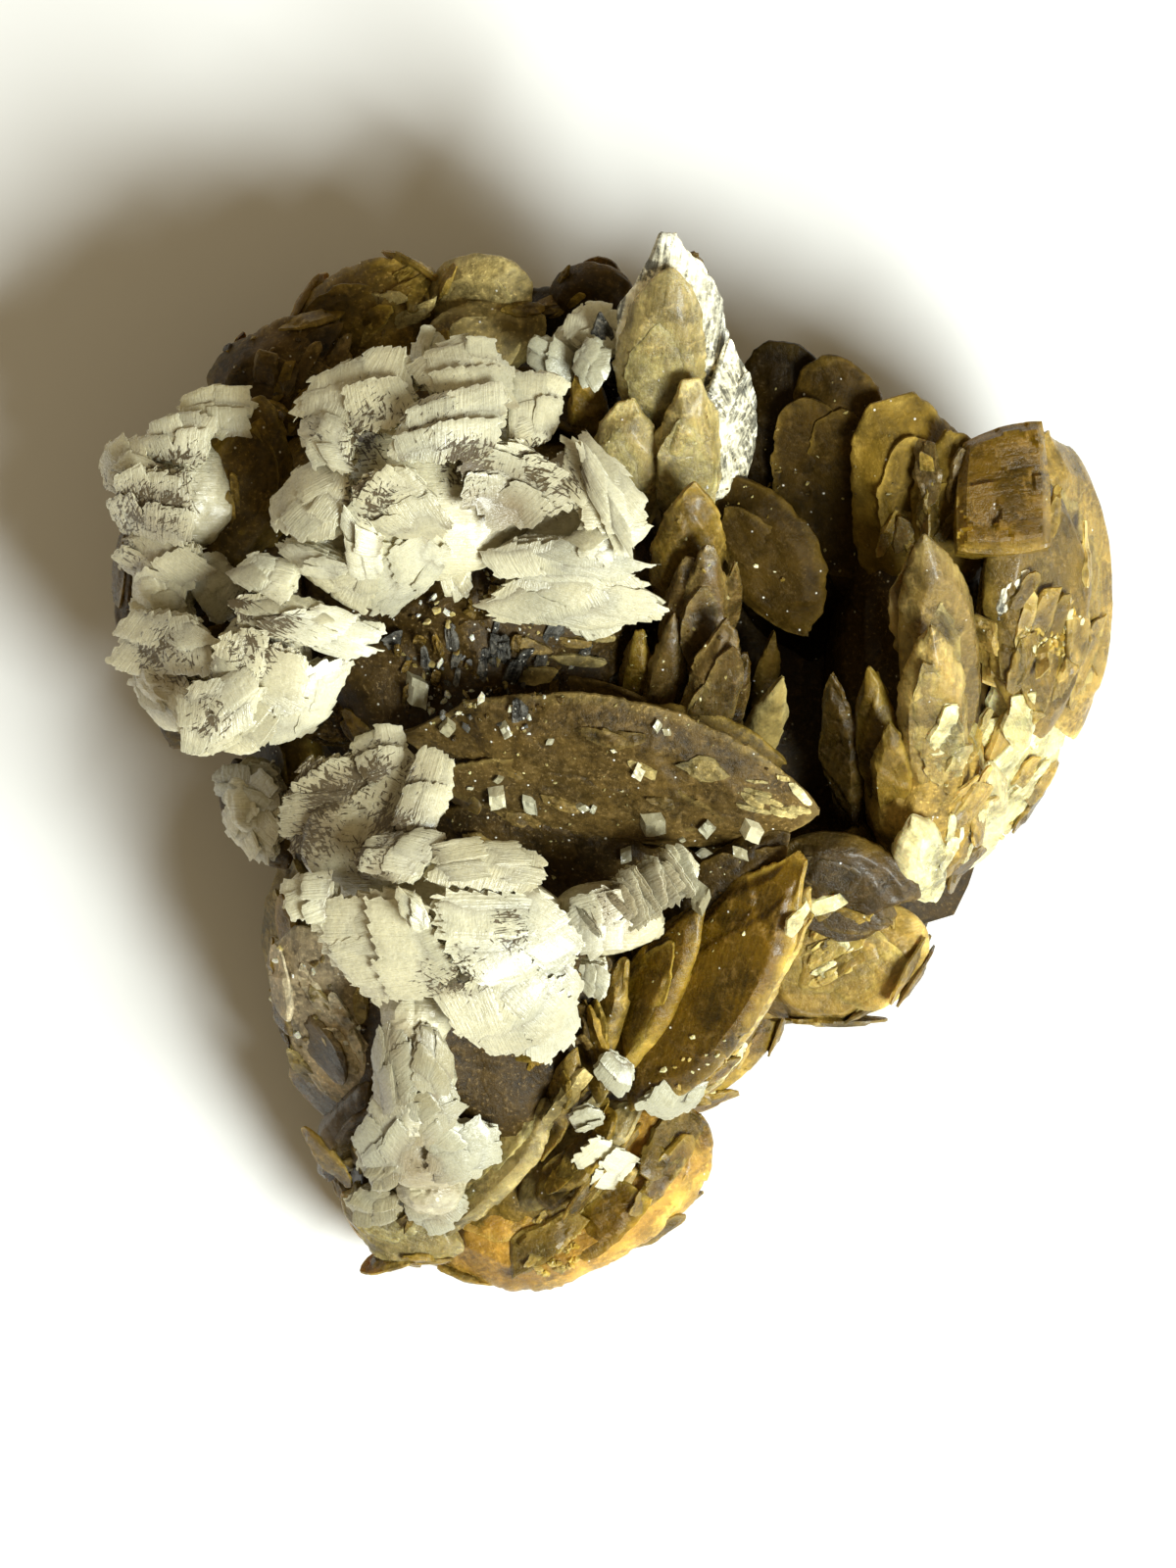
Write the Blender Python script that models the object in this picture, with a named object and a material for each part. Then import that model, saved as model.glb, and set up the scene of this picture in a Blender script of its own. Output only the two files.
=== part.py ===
"""A hand specimen of siderite: brown lens-shaped crystals grown into one cluster, with clusters and
lone crystals of white dolomite on it. Millimetres in the tables, metres in the scene, +Z up.
The origin is at the middle of the footprint, on the surface that the specimen rests on."""

import math

import bmesh
import bpy
import numpy as np
from mathutils import Vector
from mathutils.bvhtree import BVHTree

MM = 0.001
CLEARANCE = 0.4  # mm between the siderite and what grew on it
PLATE_GAP = 0.35  # mm between neighbouring dolomite clusters
RIM_POINTS, SKIRT_POINTS = 10, 8  # corners on a blade's outline
FLAT_SHARE = 0.56  # how far out a blade's flat face reaches
POINTED, ROUNDED = 1.45, 1.0  # outline exponents: 1 is an ellipse, 2 two arcs that meet in points
CORE_DETAIL, ROOT_DETAIL = 2, 1  # subdivisions of the lumps between blades and under plates
LUMP_ROUGHNESS = 0.07  # how far a lump's corners stray from an ellipsoid, as a share of its size
PLATE_CELLS = 2  # grid cells along each side of a dolomite plate
EDGE_SWELL = 0.10  # how far a plate's edges bow out, as a share of its half size
SIDERITE_SHARE, CLUSTER_SHARE = 0.60, 0.47  # share of its triangles that a joined solid keeps
FLAKE_THICK = 1.6  # mm
RHOMB_COSINE = 0.29  # cosine of the sharp corner of a dolomite rhomb's face, 73 degrees
RHOMB_SINK = 0.3  # how far a rhomb's centre stands above the blade, as a share of its edge
UNDER_FLOOR = 30.0  # mm, half the depth of the slab that cuts the resting face
SIDERITE_COLOUR, SIDERITE_ROUGHNESS = (0.27, 0.19, 0.085), 0.42
DOLOMITE_COLOUR, DOLOMITE_ROUGHNESS = (0.86, 0.83, 0.72), 0.5

# ---------------------------------------------------------------- siderite blades
# One lens-shaped crystal to a row: its hidden end, its free tip, its full width, its full
# thickness (mm) and its roll in degrees. At roll 0 it lies as flat as its two ends let it; a
# positive roll lifts the edge on the left of the way from end to tip.
BLADES = {
    # The upright rosette: petals that overlap from the top edge down to the middle.
    "spire": ((7.4, 29.0, 26), (6.2, 54.4, 43), 12.6, 5.4, 6),
    "spire_side": ((12.0, 25.0, 25), (12.6, 43.4, 38), 8.6, 3.6, 48),
    "spire_back": ((2.0, 35.0, 16), (9.4, 52.6, 35), 11.0, 4.0, 24),
    "petal_high": ((8.0, 23.0, 27), (8.7, 39.9, 41), 8.0, 4.0, 10),
    "thorn_dark": ((0.6, 34.5, 24), (-0.6, 46.2, 37), 4.2, 2.8, 0),
    "thorn_gold": ((-1.4, 31.0, 24), (-2.2, 41.0, 36), 5.0, 3.0, -14),
    "petal_left": ((1.8, 22.0, 28), (2.4, 38.0, 38), 8.6, 3.6, -4),
    "petal_mid": ((7.6, 13.0, 27), (9.0, 28.8, 41), 8.2, 4.0, 6),
    "petal_low_left": ((7.0, 7.0, 27), (8.6, 21.9, 40), 5.2, 3.2, -12),
    "petal_low_right": ((9.4, 5.0, 27), (10.5, 23.0, 42), 5.6, 3.4, 16),
    "petal_foot": ((8.6, -1.5, 26), (12.5, 15.2, 42), 6.4, 3.4, 8),
    "picket_1": ((3.0, 2.0, 23), (3.6, 14.4, 34), 4.2, 2.6, -10),
    "picket_2": ((5.0, 0.0, 24), (7.0, 15.6, 37), 4.4, 2.6, -6),
    "picket_3": ((11.0, -1.5, 20), (14.3, 11.8, 36), 4.0, 2.4, 20),
    "picket_4": ((11.6, 11.0, 21), (13.2, 20.8, 37), 3.4, 2.2, 34),
    "cleft_leaf": ((12.2, 30.0, 30), (21.4, 13.4, 25), 11.6, 3.6, 24),
    # The big blade across the middle, and those stacked behind and under it.
    "middle": ((-21.6, 3.2, 33), (21.8, -4.6, 36), 21.5, 4.6, 43),
    "middle_under": ((-20.0, -6.0, 27), (13.0, -13.2, 27), 15.0, 4.0, 36),
    "middle_shelf": ((6.0, -16.2, 27), (18.8, -6.8, 34), 7.6, 3.2, 14),
    "rim_behind": ((-3.6, 4.4, 30), (18.8, 0.0, 31), 12.0, 3.2, 46),
    "rim_far": ((-23.0, 6.2, 28), (6.6, 5.0, 29), 12.0, 3.2, 44),
    "striped": ((-24.0, 12.4, 29), (2.4, 9.4, 28), 12.0, 5.6, 26),
    "striped_foot": ((-31.0, 3.2, 22), (-19.0, 7.4, 27), 8.0, 3.4, 30),
    # The wall right of the deep cleft, and the thick shell that closes the right side.
    "wall_far": ((21.0, 11.0, 12), (18.0, 44.0, 29), 16.0, 5.6, -12),
    "wall_mid": ((28.4, 14.0, 14), (22.6, 42.2, 31), 15.5, 5.8, -14),
    "wall_near": ((34.4, 15.0, 18), (29.4, 38.8, 33), 14.5, 6.0, 12),
    "wall_step": ((36.4, 17.0, 22), (35.0, 34.8, 34), 10.0, 4.6, 18),
    "shell_rim": ((45.2, 35.4, 29), (49.0, 3.0, 15), 16.5, 5.0, -52),
    "shell_face": ((43.4, 31.0, 33), (45.2, 3.0, 22), 15.0, 5.4, -38),
    "shell_low": ((44.6, 12.4, 24), (40.8, -7.4, 9), 13.0, 5.2, -44),
    "shell_foot": ((39.2, 0.6, 25), (34.8, -10.8, 9), 10.4, 5.0, -40),
    "lens_tall": ((36.0, 0.0, 21), (32.2, 23.4, 43), 9.4, 5.2, 16),
    "lens_front": ((34.4, -4.8, 23), (32.7, 14.4, 42), 8.0, 4.6, 4),
    "lens_foot": ((33.4, -14.0, 18), (31.4, -5.0, 31), 6.6, 3.2, 22),
    "dagger_1": ((29.8, -7.0, 20), (26.9, 10.2, 34), 6.0, 3.0, -36),
    "dagger_2": ((30.8, -8.0, 19), (28.8, 4.6, 35), 5.0, 2.8, -10),
    "dagger_3": ((25.8, -8.0, 15), (23.4, 9.8, 31), 5.6, 3.0, -42),
    # Lower right: dark lenses, the glittering block and the big amber blade.
    "dark_lens": ((17.6, -8.6, 26), (32.6, -13.4, 24), 10.0, 4.0, 34),
    "dark_lens_low": ((18.6, -14.0, 23), (30.2, -15.4, 22), 8.0, 3.4, 30),
    "glitter_block": ((16.6, -23.0, 15), (33.4, -17.0, 20), 13.0, 6.0, 12),
    "glitter_rim": ((15.8, -23.6, 11), (32.6, -17.8, 14), 10.0, 4.0, 0),
    "amber": ((2.6, -35.6, 22), (20.3, -8.5, 37), 12.4, 3.6, -22),
    "amber_rim": ((5.4, -34.6, 15), (21.0, -12.4, 31), 9.6, 3.4, -34),
    "leaf_wide": ((-2.0, -34.6, 21), (10.0, -13.4, 34), 8.0, 3.0, -34),
    "leaf_slim": ((-3.2, -35.0, 22), (2.3, -19.2, 32), 5.0, 2.4, -46),
    "leaf_thin": ((-6.6, -41.0, 19), (-2.8, -28.8, 29), 4.2, 2.2, -44),
    "leaf_dark": ((-13.0, -38.0, 18), (-2.4, -26.8, 25), 8.0, 3.0, -20),
    # The foot: long grey blades, the amber discs they stand on and the toothed corner.
    "grey_long": ((-20.4, -50.2, 12), (-3.8, -33.2, 25), 7.6, 3.2, -22),
    "grey_second": ((-9.6, -46.4, 12), (4.0, -34.4, 21), 7.0, 3.0, -24),
    "disc_front": ((-17.6, -51.4, 7), (9.6, -36.2, 12), 20.0, 8.0, -8),
    "disc_right": ((-1.4, -49.4, 7), (10.2, -36.6, 11), 11.6, 6.5, -14),
    "disc_side": ((4.6, -35.6, 7), (18.8, -23.6, 9), 9.0, 5.0, -24),
    "corner_outer": ((-29.4, -41.2, 8), (-11.0, -51.6, 6), 11.0, 4.0, 14),
    "corner_inner": ((-27.6, -44.6, 14), (-14.8, -50.6, 13), 10.0, 3.6, 20),
    "corner_side": ((-29.6, -43.4, 9), (-24.2, -32.6, 23), 6.4, 3.4, 42),
    "corner_core": ((-24.0, -47.0, 8), (-17.0, -30.0, 20), 13.0, 7.0, 16),
    # Left edge and the shaded far side.
    "flank": ((-31.4, -16.4, 28), (-25.2, -36.8, 14), 14.0, 4.6, 36),
    "flank_back": ((-32.6, -9.0, 18), (-32.4, -27.4, 11), 10.0, 4.4, 58),
    "flank_high": ((-38.6, 0.8, 18), (-33.0, -10.6, 20), 9.0, 4.4, 40),
    "left_gold": ((-41.2, 18.0, 26), (-35.2, 38.0, 31), 13.0, 4.6, 4),
    "left_under": ((-46.2, 8.0, 20), (-44.0, 30.0, 24), 13.0, 5.2, -10),
    "left_foot": ((-45.0, 2.0, 22), (-36.0, 16.4, 26), 12.0, 5.2, 18),
    "far_dark": ((-41.0, 35.6, 19), (-26.8, 44.2, 24), 12.6, 5.4, 10),
    "far_tan": ((-31.8, 41.4, 17), (-16.4, 50.0, 23), 14.4, 5.2, 14),
    "far_gold": ((-19.4, 46.4, 20), (-7.8, 50.6, 27), 9.6, 4.0, 20),
    "far_grey": ((-20.0, 42.4, 25), (-5.6, 45.8, 25), 9.0, 4.0, 20),
    "far_round": ((-5.4, 47.2, 21), (2.6, 49.8, 26), 8.4, 4.2, 24),
    "far_gap": ((-11.0, 44.2, 18), (0.4, 46.0, 22), 11.0, 4.6, 20),
}

# Flat-sided siderite blocks: four corners in turn, how far the middle stands above them, thickness.
BLOCKS = {
    "block_right": ((36.6, 33.2, 35), (44.6, 35.4, 35), (45.4, 22.6, 36), (36.0, 22.2, 37), 0.3, 7.0),
    "block_amber": ((40.2, 22.0, 31), (47.0, 21.0, 30), (46.0, 8.0, 27), (39.0, 8.4, 29), 0.8, 7.0),
    "block_ledge": ((18.4, -25.0, 15), (28.0, -22.0, 15), (29.0, -12.0, 20), (17.0, -14.0, 20), 0.6, 8.0),
}

# Solid siderite between the blades: centre and half sizes (mm).
CORES = {
    "heart": ((-13.0, 18.0, 15), (21.0, 22.0, 21)),
    "left_core": ((-35.0, 20.0, 16), (11.0, 15.5, 12)),
    "lower_core": ((-12.0, -18.0, 13), (20.0, 24.0, 17)),
    "foot_core": ((-7.0, -38.0, 6), (16.0, 13.0, 10)),
    "right_core": ((33.0, 12.0, 11), (10.5, 23.0, 16)),
    "ledge_core": ((17.0, -14.5, 8), (14.0, 11.5, 13)),
    "petal_core": ((8.0, 6.0, 22), (5.8, 13.0, 9)),
    "spire_core": ((1.0, 34.0, 17), (7.0, 7.5, 10)),
    "lens_core": ((33.0, 0.0, 18), (6.5, 12.0, 11)),
    "amber_core": ((9.0, -23.0, 14), (7.0, 11.0, 9)),
    "floor_core": ((4.0, 4.0, 2), (38.0, 36.0, 11)),
}
# --------------------------------------------------------------- dolomite plates
# Each cluster is a stack of curved, saddle-shaped plates on lumpy roots. A root is its centre and
# half sizes (mm). A plate is its four corners in turn (mm), and how far its middle rises above them.
CLUSTERS = {
    "dolomite_crown": {
        "root": [
            ((-17.0, 28.0, 42), (13.0, 11.0, 6.5)),
            ((-3.0, 24.5, 41.5), (6.5, 7.5, 5.0)),
            ((-28.5, 25.0, 40), (4.5, 8.0, 4.0)),
        ],
        "thick": 2.6,
        "plates": [
            ((-33.0, 35.0, 42), (-27.0, 41.2, 43), (-18.8, 42.0, 44), (-20.0, 33.2, 49), 1.0),
            ((-20.4, 41.0, 41), (-18.2, 45.0, 42), (-15.6, 42.8, 42), (-17.8, 38.4, 45), 0.3),
            ((-21.3, 39.7, 45), (-14.6, 44.2, 45), (-8.6, 40.4, 44), (-11.0, 34.2, 50), 1.2),
            ((-22.4, 30.2, 49), (-20.0, 37.0, 49), (-8.8, 38.4, 48), (-11.6, 30.4, 52), 1.4),
            ((-11.0, 40.2, 43), (-4.2, 40.0, 41), (-4.6, 34.0, 43), (-9.0, 31.0, 49), 0.8),
            ((-31.6, 32.6, 43), (-28.8, 36.4, 44), (-25.4, 33.6, 47), (-26.0, 28.6, 47), 0.8),
            ((-34.9, 24.0, 41), (-31.4, 31.0, 42), (-25.2, 29.4, 47), (-27.4, 22.2, 46), 1.4),
            ((-34.4, 23.0, 39), (-30.0, 22.4, 43), (-24.8, 19.6, 45), (-29.6, 18.6, 41), 0.6),
            ((-31.2, 20.4, 40), (-25.0, 20.6, 44), (-22.6, 19.8, 44), (-24.2, 14.8, 38), 0.8),
            ((-27.0, 26.4, 47), (-23.4, 24.4, 48), (-22.2, 19.6, 44), (-25.4, 18.4, 43), 0.8),
            ((-26.6, 27.4, 48), (-20.2, 31.2, 51), (-14.5, 22.6, 49), (-23.4, 23.0, 46), 0.6),
            ((-23.6, 23.0, 45), (-14.6, 22.4, 46), (-18.4, 17.4, 39), (-24.4, 14.4, 37), 0.8),
            ((-16.8, 20.6, 41), (-13.6, 20.3, 41), (-13.8, 17.0, 39), (-16.4, 16.8, 39), 0.3),
            ((-15.4, 30.2, 50), (-8.8, 33.4, 50), (-1.8, 26.4, 48), (-11.8, 22.8, 46), -1.0),
            ((-5.2, 34.2, 46), (1.8, 30.8, 46), (4.8, 24.0, 46), (-2.0, 22.6, 49), 0.8),
            ((-3.4, 33.4, 49), (-0.8, 31.0, 49), (3.4, 23.6, 49), (0.4, 22.2, 49), 0.4),
            ((-3.0, 24.8, 47), (4.6, 26.4, 46), (2.4, 20.6, 46), (-3.0, 20.8, 48), 0.8),
            ((-12.0, 19.0, 43), (-10.8, 22.8, 46), (2.4, 22.6, 48), (3.2, 18.0, 45), 1.0),
            ((-12.4, 14.2, 41), (-10.6, 18.8, 44), (2.4, 20.0, 46), (8.2, 14.4, 43), 0.8),
            ((-5.0, 15.4, 40), (1.8, 16.8, 42), (1.6, 13.4, 39), (-3.0, 13.0, 38), 0.3),
        ],
    },
    "dolomite_left": {
        "root": [
            ((-42.6, 28.6, 31.0), (6.0, 8.0, 4.0)),
            ((-45.2, 20.0, 28.5), (4.5, 6.5, 4.0)),
            ((-35.0, 10.5, 35.0), (6.0, 7.5, 5.0)),
            ((-43.6, 10.0, 31.0), (6.0, 5.0, 4.0)),
        ],
        "thick": 2.3,
        "plates": [
            ((-45.2, 36.0, 31), (-40.0, 39.6, 32), (-35.0, 37.2, 33), (-39.0, 33.0, 34), 0.8),
            ((-48.4, 32.6, 31), (-44.8, 36.4, 33), (-39.4, 35.8, 35), (-41.4, 30.0, 36), 1.0),
            ((-51.9, 28.0, 27), (-51.6, 33.4, 28), (-47.0, 34.2, 32), (-46.6, 28.0, 34), 1.0),
            ((-50.6, 24.0, 28), (-50.0, 31.0, 32), (-42.2, 30.4, 36), (-42.6, 22.0, 34), 0.9),
            ((-51.0, 20.6, 26), (-48.8, 24.6, 30), (-40.8, 22.4, 34), (-42.8, 16.8, 31), 0.9),
            ((-44.0, 21.2, 32), (-39.2, 21.8, 32), (-36.0, 16.0, 30), (-40.4, 14.0, 28), 0.8),
            ((-49.6, 17.4, 26), (-44.0, 19.0, 31), (-42.0, 14.6, 30), (-47.6, 12.6, 27), 0.6),
            ((-38.9, 19.0, 37), (-35.8, 22.2, 38), (-30.6, 20.6, 38), (-31.8, 16.0, 40), 1.0),
            ((-38.0, 14.0, 38), (-37.4, 17.8, 39), (-28.2, 17.0, 39), (-27.2, 13.0, 40), 0.9),
            ((-35.4, 13.2, 40), (-31.8, 16.4, 41), (-21.6, 14.6, 37), (-24.4, 10.8, 37), 0.9),
            ((-40.4, 8.0, 37), (-39.4, 14.4, 39), (-29.6, 11.4, 40), (-31.6, 4.0, 36), 1.0),
            ((-50.2, 9.8, 28), (-49.4, 16.2, 31), (-41.8, 15.4, 36), (-38.8, 9.0, 37), 0.9),
            ((-50.0, 9.4, 27), (-42.8, 10.4, 34), (-40.2, 4.0, 33), (-45.4, 3.6, 27), 0.9),
            ((-44.0, 4.0, 36), (-42.8, 8.8, 38), (-33.2, 8.4, 40), (-40.4, 0.2, 36), 0.8),
            ((-42.6, 2.0, 34), (-34.0, 8.6, 38), (-33.2, 2.6, 36), (-37.6, 1.2, 34), 0.5),
            ((-35.4, 2.2, 35), (-32.8, 9.4, 39), (-24.8, 11.4, 37), (-29.8, 3.0, 33), 0.8),
        ],
    },
    "dolomite_front": {
        "root": [
            ((-24.0, -7.5, 37.0), (8.5, 8.0, 5.0)),
            ((-14.0, -17.0, 37.0), (12.0, 9.0, 6.0)),
            ((0.0, -15.5, 35.5), (7.5, 4.5, 3.6)),
            ((-19.5, -25.5, 35.0), (4.5, 5.0, 4.5)),
            ((-19.6, -32.0, 31.0), (5.0, 7.5, 4.0)),
            ((-18.0, -39.6, 25.5), (7.0, 5.0, 3.6)),
            ((-18.0, -43.6, 21.5), (4.5, 3.5, 4.5)),
        ],
        "thick": 2.4,
        "plates": [
            ((-33.4, -10.0, 34), (-32.2, 1.2, 36), (-18.0, 1.8, 38), (-21.6, -8.0, 42), 0.9),
            ((-26.4, 2.6, 36), (-21.8, 4.4, 36), (-18.6, 0.2, 38), (-24.4, -2.0, 40), 0.6),
            ((-19.6, 1.8, 39), (-15.0, 1.2, 39), (-15.8, -5.0, 41), (-22.0, -8.0, 43), 0.7),
            ((-26.4, -9.8, 43), (-22.8, -6.4, 43), (-15.8, -6.8, 43), (-19.6, -12.2, 46), 0.9),
            ((-19.0, -11.8, 45), (-16.8, -7.2, 44), (-5.8, -8.6, 43), (-7.2, -13.0, 46), 0.9),
            ((-33.2, -14.4, 38), (-31.6, -10.6, 39), (-27.0, -11.6, 42), (-28.6, -16.6, 41), 0.7),
            ((-31.8, -15.0, 39), (-20.0, -11.2, 46), (-13.6, -22.0, 45), (-23.8, -24.8, 38), 1.2),
            ((-18.8, -12.0, 46), (-4.6, -12.6, 45), (-2.0, -20.0, 42), (-14.6, -22.0, 46), 1.2),
            ((-16.4, -27.0, 40), (-14.0, -20.2, 45), (-2.2, -20.8, 41), (-6.8, -30.4, 37), 1.4),
            ((-9.0, -21.0, 42), (-3.0, -18.6, 42), (-2.6, -29.0, 36), (-8.0, -30.2, 37), 0.7),
            ((-21.6, -12.4, 47), (-19.2, -13.0, 48), (-17.6, -16.4, 47), (-19.6, -16.9, 47), 0.2),
            ((-4.8, -15.0, 40), (0.0, -11.6, 40), (4.4, -16.2, 39), (-1.8, -20.4, 39), 0.8),
            ((-1.0, -12.0, 38), (2.4, -9.2, 38), (6.4, -12.2, 39), (3.2, -16.4, 39), 0.8),
            ((3.6, -10.4, 38), (6.8, -7.5, 38), (9.8, -10.8, 38), (8.0, -14.4, 38), 0.8),
            ((-2.9, -20.0, 37), (0.4, -20.2, 37), (0.2, -23.8, 35), (-2.2, -23.6, 35), 0.3),
            ((-24.2, -35.0, 31), (-23.4, -25.6, 36), (-18.8, -25.4, 37), (-19.6, -35.0, 35), 0.9),
            ((-20.0, -33.0, 36), (-19.4, -25.4, 38), (-16.4, -27.2, 37), (-15.2, -34.0, 33), 0.9),
            ((-26.2, -41.8, 25), (-24.2, -32.8, 31), (-18.6, -33.8, 34), (-20.6, -43.4, 27), 0.9),
            ((-20.0, -39.8, 30), (-19.4, -31.8, 34), (-14.8, -32.8, 32), (-15.2, -37.0, 30), 0.8),
            ((-18.9, -42.4, 27), (-17.8, -35.8, 30), (-10.2, -36.8, 27), (-12.6, -43.0, 25), 0.9),
            ((-25.4, -42.0, 26), (-21.4, -38.6, 29), (-20.6, -42.0, 28), (-23.2, -44.4, 25), 0.5),
            ((-21.4, -46.0, 19), (-16.8, -43.2, 22), (-13.6, -45.6, 20), (-17.8, -49.0, 17), 0.6),
            ((-27.8, -45.0, 17), (-22.8, -43.6, 20), (-20.6, -46.2, 19), (-24.8, -48.4, 15), 0.5),
        ],
    },
    "dolomite_back": {
        "root": [
            ((-2.4, 42.8, 31.5), (4.5, 3.6, 3.0)),
        ],
        "thick": 2.0,
        "plates": [
            ((-8.0, 44.4, 33), (-4.0, 43.6, 34), (-3.2, 38.8, 34), (-7.8, 40.4, 33), 0.6),
            ((-4.8, 43.8, 34), (-2.8, 47.6, 33), (2.4, 46.6, 33), (1.0, 41.0, 35), 0.7),
            ((-3.6, 42.2, 36), (-0.6, 44.4, 36), (0.8, 40.0, 36), (-2.6, 38.2, 36), 0.5),
        ],
    },
    "dolomite_heel": {
        "root": [
            ((-36.0, -3.2, 25.0), (4.0, 5.0, 3.2)),
        ],
        "thick": 2.0,
        "plates": [
            ((-41.4, -0.4, 22), (-33.8, 0.8, 28), (-33.0, -5.0, 28), (-39.4, -4.4, 23), 0.7),
            ((-39.9, -6.8, 21), (-38.9, -2.2, 24), (-33.2, -4.0, 28), (-34.4, -11.0, 24), 0.7),
        ],
    },
    "dolomite_flank": {
        "root": [
            ((-32.6, -23.4, 18.0), (2.4, 3.6, 3.0)),
        ],
        "thick": 2.0,
        "plates": [
            ((-34.8, -24.8, 20), (-33.3, -19.3, 24), (-30.6, -20.4, 25), (-31.0, -26.8, 21), 0.6),
        ],
    },
}

# Lone plates on the blades: four corners and rise of the middle, as above.
FLAKES = {
    "dolomite_flake_cream": ((-3.9, -40.8, 20), (-0.8, -38.0, 22), (4.1, -41.2, 19), (-0.3, -44.6, 17), 0.5),
    "dolomite_flake_grey": ((-1.7, -31.3, 29), (0.7, -29.0, 30), (3.3, -31.4, 29), (1.8, -34.9, 27), 0.5),
    "dolomite_flake_long": ((2.2, -35.0, 25), (9.8, -31.0, 27), (10.3, -34.4, 24), (6.8, -36.9, 22), 0.4),
    "dolomite_flake_small": ((-4.2, -36.3, 26), (-1.6, -34.9, 27), (0.4, -36.2, 26), (-2.4, -38.2, 24), 0.4),
}

# Lone rhombs on the blades: place seen from above (mm), edge length (mm), turn in degrees.
RHOMBS = {
    "rhomb_tall": ((-19.4, 8.0), 3.4, 8),
    "rhomb_clear": ((-11.1, -2.8), 2.6, 70),
    "rhomb_left": ((-16.1, 4.3), 1.9, 30),
    "rhomb_pale": ((-10.2, 3.8), 1.7, 55),
    "rhomb_mid": ((3.5, -0.3), 1.6, 20),
    "rhomb_low": ((4.8, -5.6), 2.4, 75),
    "rhomb_bright": ((10.4, -6.2), 2.3, 35),
    "rhomb_amber": ((14.8, -6.2), 2.6, 10),
    "rhomb_edge": ((9.8, -13.6), 2.4, 15),
}

# The footprint's reach from the origin (mm), every 15 degrees from +X towards +Y.
REACH = [45.5, 51.0, 56.0, 50.0, 47.5, 45.5, 50.5, 52.5, 56.5, 56.5, 59.0, 52.0,
         41.0, 37.5, 39.5, 43.5, 50.0, 55.0, 50.5, 41.0, 34.0, 32.0, 35.0, 36.0]
# Rows of blades round the sides: height (mm), share of the reach, number in a full turn, lean, and the
# directions in degrees where the row starts and ends. The upper rows leave out the sides where the
# specimen is low.
SKIRTS = [(5.5, 0.84, 20, 34, 0, 360), (14.5, 0.92, 21, 50, -27, 207), (23.5, 0.82, 24, 58, 82, 142)]
SKIRT_LENGTH, SKIRT_WIDTH, SKIRT_THICK = 16.5, 13.5, 5.4

ROUND_BLADES = {"disc_front", "disc_right", "disc_side", "far_tan", "far_gold", "far_round", "far_dark",
                "glitter_block", "glitter_rim", "wall_far", "wall_mid", "wall_near", "flank"}



# ---------------------------------------------------------------------- shapes


def reach(angle):
    """The footprint's reach at an angle in radians, between the table's values."""
    place = math.degrees(angle) % 360 / 15
    low = int(place)
    share = place - low
    return REACH[low % 24] * (1 - share) + REACH[(low + 1) % 24] * share


def skirt_blades():
    """Rows of overlapping blades round the sides, in the same form as BLADES."""
    rng = np.random.default_rng(7)
    rows = {}
    for level, (height, share, count, lean, first, last) in enumerate(SKIRTS):
        for k in range(count):
            angle = 2 * math.pi * (k + 0.5 * level) / count
            if (math.degrees(angle) - first) % 360 > last - first:
                continue
            radius = share * reach(angle) - 0.3 * SKIRT_WIDTH
            centre = np.array([radius * math.cos(angle), radius * math.sin(angle), height])
            along = np.array([-math.sin(angle), math.cos(angle), rng.uniform(-0.35, 0.35)])
            half = along / np.linalg.norm(along) * 0.5 * SKIRT_LENGTH * rng.uniform(0.85, 1.15)
            roll = lean + rng.uniform(-14, 14)
            width = SKIRT_WIDTH * rng.uniform(0.85, 1.1)
            rows[f"skirt_{level}_{k}"] = (centre - half, centre + half, width, SKIRT_THICK, roll)
    return rows


def blade_frame(tail, tip, roll):
    """Centre, and unit vectors along, across and out of a blade's plane."""
    tail, tip = Vector(tail), Vector(tip)
    along = (tip - tail).normalized()
    level = Vector((-along.y, along.x, 0)).normalized()
    up = along.cross(level)
    turn = math.radians(roll)
    across = level * math.cos(turn) + up * math.sin(turn)
    return (tail + tip) / 2, along, across, along.cross(across)


def add_blade(mesh, tail, tip, width, thick, roll, power, points, grow=0.0):
    """A lens: a sharp pointed-oval rim, and on each side a flat face inside a sloping bevel."""
    centre, along, across, out = blade_frame(tail, tip, roll)
    half_length = (Vector(tip) - Vector(tail)).length / 2 + grow
    half_width, half_thick = width / 2 + grow, thick / 2 + grow
    turns = [2 * math.pi * k / points for k in range(points)]
    oval = [(math.cos(t), math.copysign(abs(math.sin(t)) ** power, math.sin(t))) for t in turns]

    def ring(share, height):
        return [
            mesh.verts.new(
                (centre + along * (x * share * half_length) + across * (y * share * half_width)
                 + out * (height * half_thick)) * MM
            )
            for x, y in oval
        ]

    rim, top, bottom = ring(1, 0), ring(FLAT_SHARE, 1), ring(FLAT_SHARE, -1)
    for k in range(points):
        n = (k + 1) % points
        mesh.faces.new((rim[k], rim[n], top[n], top[k]))
        mesh.faces.new((rim[n], rim[k], bottom[k], bottom[n]))
    mesh.faces.new(top)
    mesh.faces.new(bottom[::-1])


def add_lump(mesh, centre, radii, detail, grow=0.0):
    """A faceted lump: a ball with uneven corners, stretched to its three half sizes."""
    made = bmesh.ops.create_icosphere(mesh, subdivisions=detail, radius=1.0)["verts"]
    for vert in made:
        x, y, z = vert.co
        uneven = 1 + LUMP_ROUGHNESS * math.sin(7 * x + 3 * y) * math.cos(5 * z - 4 * y)
        size = Vector([r + grow for r in radii])
        vert.co = (Vector(centre) + Vector((x, y, z)) * uneven * size) * MM


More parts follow.
